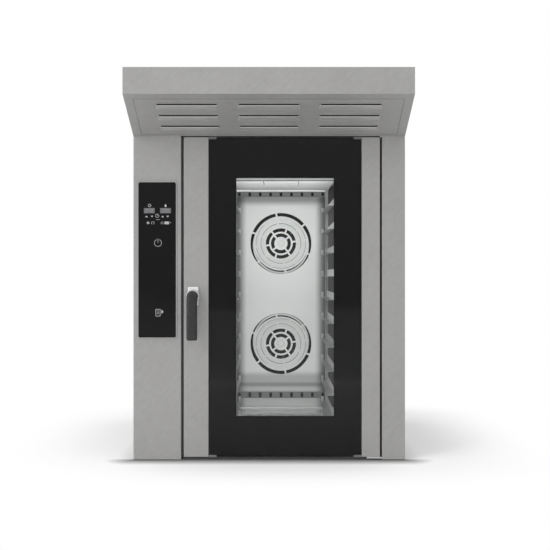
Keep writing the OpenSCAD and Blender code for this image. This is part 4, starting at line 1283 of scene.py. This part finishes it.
@dataclass
class Chamber:
    """The baking chamber, its fans and what it holds. Sizes are in millimetres."""

    ring_inner: float = 119.0
    ring_outer: float = 127.0
    ring_shift: float = 9.0
    ring_roll: float = 1.2

    def build(self) -> None:
        """Dress the chamber's nodes and make the rings behind the baffle."""
        dress(("chamber_floor_pan", "chamber_ceiling_pan", "chamber_front_frame"), Finish.CHAMBER_STEEL)
        # The side walls take the darker copy of the chamber's steel as painted shade.
        dress(("chamber_wall_left", "chamber_wall_right"), Finish.WALL_STEEL)
        dress(("chamber_rear_wall",), Finish.SCORCHED_STEEL)
        dress(("fan_baffle",), Finish.BAFFLE_STEEL)
        dress(("fan_wheel_upper", "fan_wheel_lower"), Finish.WHEEL_STEEL)
        dress(("steam_pipe", "rack_bearings"), Finish.BRASS)
        dress(("temperature_probe",), Finish.POLISHED_STEEL)
        dress(("heating_elements",), Finish.HEATER_STEEL)
        dress(("door_gasket",), Finish.GASKET_RUBBER)
        dress(("chamber_lamps",), Finish.CLEAR_GLASS)
        self.make_inlet_rings()

    def make_inlet_rings(self) -> None:
        """Turn the rolled ring behind each ring of slots, set a little towards the chamber's middle.

        Its section is a flat strip with a half round on its outer edge.
        """
        inner, roll = self.ring_inner, self.ring_roll
        depth = min(Box.of(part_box("fan_baffle")).back, 892.0) + 1.5
        turn = np.linspace(math.pi / 2, -math.pi / 2, 7)
        rim = arc(self.ring_outer - roll, depth + roll, roll, -turn)
        profile = np.vstack([[[inner, depth]], rim, [[inner, depth + 2 * roll], [inner, depth]]])
        for name, wheel, sign in (("inlet_ring_upper", "fan_wheel_upper", -1),
                                  ("inlet_ring_lower", "fan_wheel_lower", 1)):
            low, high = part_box(wheel)
            height = (low.z + high.z) / 2 + sign * self.ring_shift * MM
            centre = Vector(((low.x + high.x) / 2, FRONT_Y, height))
            shape = Shape().lathe(profile * MM, centre, "y", around=72)
            shape.piece(name, Finish.CHAMBER_STEEL)


@dataclass
class Rack:
    """The turning tray rack.

    Sizes are in millimetres, the fold's radius in metres, and depths are behind the glass.
    """

    fold: float = 0.0006
    seam_spots: tuple[float, float] = (-24.0, 117.0)
    seam_width: float = 2.4
    low_beam: float = 28.0
    top_beam: float = 24.0
    bead_depth: float = 706.0
    bead_half: float = 6.0
    bead_rise: float = 3.0
    bead_inset: float = 30.0

    def build(self) -> None:
        """Dress the rack's nodes and make its small parts."""
        dress(("rack_posts", "runners_left", "runners_right"), Finish.RACK_STEEL, self.fold)
        dress(("rack_cross_beams",), Finish.BEAM_STEEL, self.fold)
        # The top plate takes the lighter copy of the chamber's steel as painted light on its shaded
        # underside.
        dress(("rack_top_plate",), Finish.PLATE_STEEL, self.fold)
        dress(("rack_base_plate",), Finish.MIRROR_PLATE, self.fold)
        self.make_slot_backing()
        self.make_top_seams()
        self.make_base_bead()

    def make_slot_backing(self) -> None:
        """Make the black strips behind the beams' slots, with folded edges: painted shade inside the beams.
        """
        box, sheet = Box.of(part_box("rack_cross_beams")), 0.8
        front, back = box.back + 0.6, box.back + 3.6
        shape = Shape()
        for foot, height in ((box.foot, self.low_beam), (box.top - self.top_beam, self.top_beam)):
            bottom, top = foot + 1.5, foot + height - 1.5
            section = np.array([[front, bottom], [back, bottom], [back, top], [front, top],
                                [front, top - sheet], [back - sheet, top - sheet],
                                [back - sheet, bottom + sheet], [front, bottom + sheet]])
            shape.prism(section, box.left + 4.0, box.right - 4.0, facing_side)
        shape.piece("beam_slot_backing", Finish.ENAMEL, Body.RACK)

    def make_base_bead(self) -> None:
        """Press a bead across the base plate, half an ellipse in section, and lay a black strip across the
        plate in front of it.
        """
        box = Box.of(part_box("rack_base_plate"))
        left, right, foot = box.left + self.bead_inset, box.right - self.bead_inset, box.top - 0.2
        turn = np.linspace(0.0, math.pi, 9)
        section = np.stack([self.bead_depth + self.bead_half * np.cos(turn),
                            foot + self.bead_rise * np.sin(turn)], -1)
        shape = Shape().prism(section, left, right, facing_side)
        shape.piece("base_plate_bead", Finish.MIRROR_PLATE, Body.RACK)
        dark_line_outline = rounded_outline(left, self.bead_depth - 15.0, right, self.bead_depth - 8.0, 1.0)
        strip = Shape().prism(dark_line_outline, foot, box.top + 0.4, facing_up)
        strip.piece("base_plate_seal", Finish.GASKET_RUBBER, Body.RACK)

    def make_top_seams(self) -> None:
        """Lay the sealed seams under the top plate, and a black strip behind its front rim as a painted
        shadow line.
        """
        box = Box.of(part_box("rack_top_plate"))
        front, half = box.front, self.seam_width / 2
        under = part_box("rack_posts")[1].z / MM
        shape = Shape()
        for x in self.seam_spots:
            outline = rounded_outline(x - half, front + 40.0, x + half, front + 330.0, 1.0)
            shape.prism(outline, under - 0.5, under + 0.2, facing_up)
        # A black strip behind the front rim: a painted shadow line.
        edge = rounded_outline(box.left + 1.0, under - 12.2, box.right - 1.0, under - 8.2, 1.0)
        shape.prism(edge, front + 2.0, front + 3.0, facing_front)
        shape.piece("top_plate_seals", Finish.GASKET_RUBBER, Body.RACK)
        rim = rounded_outline(box.left - 0.3, under - 8.4, box.right + 0.3, under + 1.4, 0.8)
        trim = Shape().prism(rim, front - 0.5, front + 0.3, facing_front)
        trim.piece("top_plate_trim", Finish.WALL_STEEL, Body.RACK)


@dataclass
class Door:
    """The glazed door.

    Sizes are in millimetres, the fold's radius in metres. The window is given by its left, lower,
    right and upper edges.
    """

    fold: float = 0.0007
    border_gap: float = 0.15
    window: Edges = (-121.0, 162.0, 238.0, 1038.0)

    def build(self) -> None:
        """Dress the door's nodes and print the border on the back of its glass."""
        dress(("door_stile_left", "door_stile_right"), Finish.OUTER_STEEL, self.fold, plain=True)
        dress(("door_rail_top", "door_rail_bottom"), Finish.CHAMBER_STEEL, self.fold)
        dress(("door_outer_glass", "door_inner_glass"), Finish.CLEAR_GLASS)
        dress(("glass_clips",), Finish.BEAM_STEEL)
        dress(("hinge_bushes",), Finish.POLISHED_STEEL)
        self.make_border()

    def make_border(self) -> None:
        """Make the enamelled border behind the outer glass, with the window's rounded corners."""
        box = Box.of(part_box("door_glass_border"))
        outer = rounded_outline(box.left, box.foot, box.right, box.top, 2.0)
        inner = rounded_outline(*self.window, 2.5)
        shape = Shape().band(outer, inner, box.front + self.border_gap, box.back, facing_front)
        border = shape.piece("enamel_border", Finish.ENAMEL, Body.DOOR, 20.0)
        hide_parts("door_glass_border")


@dataclass
class Handle:
    """The lever handle: a screwed block, a turned collar, the neck and the moulded grip.

    Sizes are in millimetres, depths are behind the glass and heights over the floor.
    """

    head_radius: float = 20.5
    bar_width: float = 38.8
    bar_shift: float = -0.8
    head_shift: float = 0.5
    neck_length: float = 30.0
    corner_radius: float = 7.0
    roundness: float = 2.15
    thinning: float = 0.75
    thinning_reach: float = 3.0
    closing: tuple[float, float] = (1.2, 0.25)
    collar_radius: float = 25.0
    collar_bead: float = 3.0
    neck_radius: float = 14.4
    block_front: float = -12.0
    block_half_width: float = 19.25
    block_half_height: float = 34.5

    def build(self) -> None:
        """Dress the lever and make the block, the collar and the grip."""
        low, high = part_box("handle_lever")
        plate = Box.of(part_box("handle_escutcheon"))
        self.grip = Box.of(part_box("handle_grip"))
        self.spindle_x = (low.x + high.x) / 2 / MM
        self.spindle_z = plate.top - self.block_half_height
        self.collar_front = plate.front
        dress(("handle_lever",), Finish.POLISHED_STEEL)
        self.make_block()
        self.make_collar()
        self.make_grip()

    def make_block(self) -> None:
        """Make the block that is screwed to the stile, with rounded edges."""
        x, z, wide, high = self.spindle_x, self.spindle_z, self.block_half_width, self.block_half_height
        outline = rounded_outline(x - wide, z - high, x + wide, z + high, 4.0)
        shape = Shape().prism(outline, self.block_front, 0.0, facing_front)
        block = shape.piece("handle_block", Finish.BLOCK_STEEL, Body.DOOR)
        add_bevel(block, 0.0016, 3)
        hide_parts("handle_escutcheon")

    def make_collar(self) -> None:
        """Turn the collar: a foot, a waist and a rounded bead in front, round the neck's bore."""
        front, back, bore = self.collar_front, self.block_front, self.neck_radius
        outer, roll = self.collar_radius, self.collar_bead
        turn = np.linspace(-math.pi / 2, math.pi / 2, 9)
        bead = arc(outer - roll, front + roll, roll, -turn)
        profile = np.vstack([[[bore, front], [bore, back], [outer - 1.0, back], [outer - 1.0, back - 1.5],
                              [outer - roll, back - roll]], bead, [[bore, front]]]) * MM
        centre = Vector(facing_front(self.spindle_x, self.spindle_z, 0.0))
        shape = Shape().lathe(profile, centre, "y", around=64)
        collar = shape.piece("handle_collar", Finish.COLLAR_STEEL, Body.DOOR)
        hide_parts("handle_escutcheon")

    def grip_half_width(self, z: Array) -> Array:
        """Give the grip's half width at a height: a round head, a straight bar, rounded foot corners.

        Args:
            z: heights in millimetres.

        Returns:
            Half widths in millimetres.
        """
        over = np.clip(z - self.spindle_z, 0.0, self.head_radius)
        head = np.sqrt(self.head_radius ** 2 - over ** 2)
        under = np.clip(self.spindle_z - z, 0.0, None)
        neck = np.clip(under / self.head_radius, 0.0, 1.0)
        bar = self.head_radius + (self.bar_width / 2 - self.head_radius) * (3 * neck ** 2 - 2 * neck ** 3)
        left = np.clip(self.grip.foot + self.corner_radius - z, 0.0, self.corner_radius)
        foot = self.corner_radius - np.sqrt(self.corner_radius ** 2 - left ** 2)
        return np.where(z > self.spindle_z, head, bar - foot)

    def make_grip(self) -> None:
        """Loft the grip from its foot to its head.

        Each section across it is a superellipse |x/w|^n + |y/t|^n = 1, where n is the roundness. Its
        half width w comes from grip_half_width, and its half thickness t is the grip's, times
        1 - thinning exp(-way / thinning_reach) on the way to the nearer end. Over the last closing
        millimetres t and w go to nothing as the root of the way. Its middle goes from head_shift at
        the spindle to bar_shift a neck_length below.
        """
        foot, top = self.grip.foot, self.spindle_z + self.head_radius
        turn = np.linspace(0.0, math.pi, 90)
        z = (top + foot) / 2 - (top - foot) / 2 * np.cos(turn)
        half_width = self.grip_half_width(np.clip(z, foot, top - 1e-6))
        depth = (self.grip.back - self.grip.front) / 2
        near_end = np.minimum(z - foot, top - z)
        close_thick, close_wide = (np.clip(near_end / way, 0.0, 1.0) ** 0.5 for way in self.closing)
        thickness = depth * (1 - self.thinning * np.exp(-near_end / self.thinning_reach)) * close_thick
        half_width = half_width * close_wide
        around = np.linspace(0.0, 2 * math.pi, 56, endpoint=False)
        power = 2.0 / self.roundness
        wide, thick = (np.sign(way) * np.abs(way) ** power for way in (np.cos(around), np.sin(around)))
        blend = np.clip((self.spindle_z - z) / self.neck_length, 0.0, 1.0)
        shift = self.bar_shift * blend + self.head_shift * (1 - blend)
        surface = facing_front(self.spindle_x + shift[:, None] + half_width[:, None] * wide,
                               np.broadcast_to(z[:, None], (len(z), len(around))),
                               (self.grip.front + self.grip.back) / 2 + thickness[:, None] * thick)
        shape = Shape().grid(surface, round_columns=True)
        grip = shape.piece("handle_grip_moulding", Finish.GRIP_PLASTIC, Body.HANDLE, 60.0)
        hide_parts("handle_grip")


class Digit(Enum):
    """Which of a display's seven strokes a figure lights, from the top one round to the middle one."""

    ZERO = (1, 1, 1, 1, 1, 1, 0)
    ONE = (0, 1, 1, 0, 0, 0, 0)
    TWO = (1, 1, 0, 1, 1, 0, 1)
    FIVE = (1, 0, 1, 1, 0, 1, 1)


@dataclass
class Controls:
    """The touch panel beside the door: its glass, two displays, keys and plain signs.

    Sizes are in millimetres, to the right of the middle and over the floor. The drawing lies on the
    glass and is as thick as printed ink. The clock, the flame, the drop, the fan and the power sign
    are given by their middles.
    """

    ink: float = 0.12
    stroke: float = 1.5
    display_foot: float = 908.0
    display_size: tuple[float, float] = (40.0, 19.0)
    display_lefts: tuple[float, float] = (-460.8, -401.3)
    clock: tuple[float, float] = (-411.7, 898.6)
    flame: tuple[float, float] = (-440.0, 936.5)
    drop: tuple[float, float] = (-381.0, 934.5)
    fan: tuple[float, float] = (-445.5, 872.5)
    power: tuple[float, float] = (-409.0, 799.0)

    def build(self) -> None:
        """Dress the panel's nodes and print its drawing."""
        self.front = (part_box("control_glass")[0].y - FRONT_Y) / MM
        dress(("control_glass",), Finish.BLACK_GLASS, 0.0006)
        dress(("control_board",), Finish.BOARD)
        self.make_bezel()
        self.print_displays()
        self.print_keys()
        self.print_recipe_sign()

    def make_bezel(self) -> None:
        """Fold the thin steel bezel round the glass."""
        glass = Box.of(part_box("control_glass"))
        box = glass.left, glass.foot, glass.right, glass.top
        outer = rounded_outline(*grown(box, 2.4), 6.5)
        inner = rounded_outline(*grown(box, 0.2), 5.0)
        shape = Shape().band(outer, inner, self.front - 0.7, 0.0, facing_front)
        bezel = shape.piece("control_bezel", Finish.PRESSED_STEEL)
        add_bevel(bezel, 0.0004)

    def print_outlines(self, name: str, outlines: Iterable[Array], finish: Finish, layer: int = 0) -> None:
        """Print flat outlines on the glass as one piece.

        Args:
            name: the piece's name.
            outlines: closed outlines in millimetres of x and z.
            finish: their ink.
            layer: how many layers of ink lie under this one.
        """
        back = self.front - layer * self.ink
        shape = Shape()
        for outline in outlines:
            shape.prism(outline, back - self.ink, back, facing_front)
        shape.piece(name, finish, Body.ROOT, 30.0)

    def ring(self, x: float, z: float, radius: float, start: float = 0.0, end: float = 360.0) -> list[Array]:
        """Draw an arc as short strokes.

        Args:
            x: its centre.
            z: its centre's height.
            radius: of the middle of the line.
            start: the first angle in degrees, from the right and against the clock.
            end: the last angle.

        Returns:
            The strokes' outlines.
        """
        spots = arc(x, z, radius, np.radians(np.linspace(start, end, 25)))
        return [stroke_outline(*a, *b, self.stroke) for a, b in zip(spots[:-1], spots[1:])]

    def figure(self, digit: Digit, x: float, z: float, width: float, height: float) -> list[Array]:
        """Draw the lit strokes of a seven-stroke figure whose lower left corner is at x, z."""
        half = height / 2
        ends = [(0, height, width, height), (width, half, width, height), (width, 0, width, half),
                (0, 0, width, 0), (0, 0, 0, half), (0, half, 0, height), (0, half, width, half)]
        return [stroke_outline(x + a, z + b, x + c, z + d, 1.1)
                for (a, b, c, d), lit in zip(ends, digit.value) if lit]

    def print_displays(self) -> None:
        """Print the two displays' windows and their figures."""
        (width, height), foot = self.display_size, self.display_foot
        windows = [rounded_outline(left, foot, left + width, foot + height, 1.5)
                   for left in self.display_lefts]
        self.print_outlines("control_displays", windows, Finish.DISPLAY)
        shown = ((Digit.TWO, Digit.ONE, Digit.ZERO), (Digit.ZERO, Digit.FIVE, Digit.ZERO))
        strokes = [stroke for left, digits in zip(self.display_lefts, shown) for k, digit in enumerate(digits)
                   for stroke in self.figure(digit, left + 7.5 + k * 9.5, foot + 3.5, 5.6, 12.0)]
        self.print_outlines("control_figures", strokes, Finish.GREY_INK, layer=1)

    def print_keys(self) -> None:
        """Print the signs of the keys: arrows, a clock, a flame, a drop and a fan, as plain lines."""
        line = self.stroke
        signs = [np.array([[x - 5, 893.5], [x + 5, 893.5], [x, 899.5]]) for x in (-451.0, -392.0)]
        signs += [np.array([[x, 893.0], [x + 5, 899.0], [x - 5, 899.0]]) for x in (-431.0, -373.0)]
        x, z = self.clock
        signs += self.ring(x, z, 6.4)
        signs += [stroke_outline(x, z, x, z + 4.4, line), stroke_outline(x, z, x + 3.1, z, line)]
        x, z = self.flame
        signs += self.ring(x, z, 4.2)
        turn = np.linspace(0, 2 * math.pi, 8, False)
        signs += [stroke_outline(*near, *far, line)
                  for near, far in zip(arc(x, z, 5.6, turn), arc(x, z, 7.2, turn))]
        x, z = self.drop
        turn = np.radians(np.linspace(-215.0, 35.0, 17))
        signs += [np.vstack([arc(x, z, 4.0, turn), [[x, z + 8.5]]])]
        signs += self.fan_sign(*self.fan) + self.ring(-428.0, 872.5, 5.0, -60.0, 240.0)
        signs += [stroke_outline(x, 867.5, x, 877.5, line) for x in (-397.0, -391.0)]
        signs += [rounded_outline(-385.0, 867.5, -368.0, 877.5, 2.0)[::-1],
                  circle_outline(-363.0, 874.0, 1.6, 12)]
        signs += [stroke_outline(x, 884.6, x + 3.4, 884.6, line) for x in (-416.5, -411.4, -406.3)]
        self.print_outlines("control_signs", signs, Finish.PALE_INK)
        x, z = self.power
        power = self.ring(x, z, 13.0, 112.0, 428.0) + [stroke_outline(x, z, x, z + 16.0, line)]
        self.print_outlines("control_power_sign", power, Finish.PALE_INK)

    def fan_sign(self, x: float, z: float) -> list[Array]:
        """Draw a fan's four blades round a point."""
        return [np.vstack([[[x, z]], arc(x, z, 5.2, np.linspace(turn, turn + 1.0, 7))])
                for turn in np.radians((20.0, 110.0, 200.0, 290.0))]

    def print_recipe_sign(self) -> None:
        """Print the recipe sign low on the glass, a page with three lines and an arrow."""
        page = rounded_outline(-418.0, 529.0, -400.0, 556.0, 2.5)
        inner = rounded_outline(-416.2, 530.8, -401.8, 554.2, 1.5)
        rim = [np.vstack([page[k:k + 2], inner[k:k + 2][::-1]]) for k in range(len(page) - 1)]
        rim.append(np.vstack([page[[-1, 0]], inner[[0, -1]]]))
        lines = [stroke_outline(-413.5, z, -404.5, z, self.stroke) for z in (549.0, 544.0, 539.0)]
        arrow = [np.array([[-396.0, 538.0], [-388.0, 546.0], [-396.0, 554.0]])]
        self.print_outlines("control_recipe_sign", rim + lines + arrow, Finish.PALE_INK)


def main() -> None:
    """Build the studio and dress the oven, assembly by assembly."""
    logging.basicConfig(level=logging.INFO, format="%(name)s: %(message)s")
    bpy.context.scene.view_settings.view_transform = "Standard"
    studio = Studio()
    studio.build()
    light_chamber(studio)
    for assembly in (Cabinet(), Hood(), Chamber(), Rack(), Controls(), Door(), Handle()):
        log.info("building %s", type(assembly).__name__)
        assembly.build()


if __name__ == "__main__":
    main()
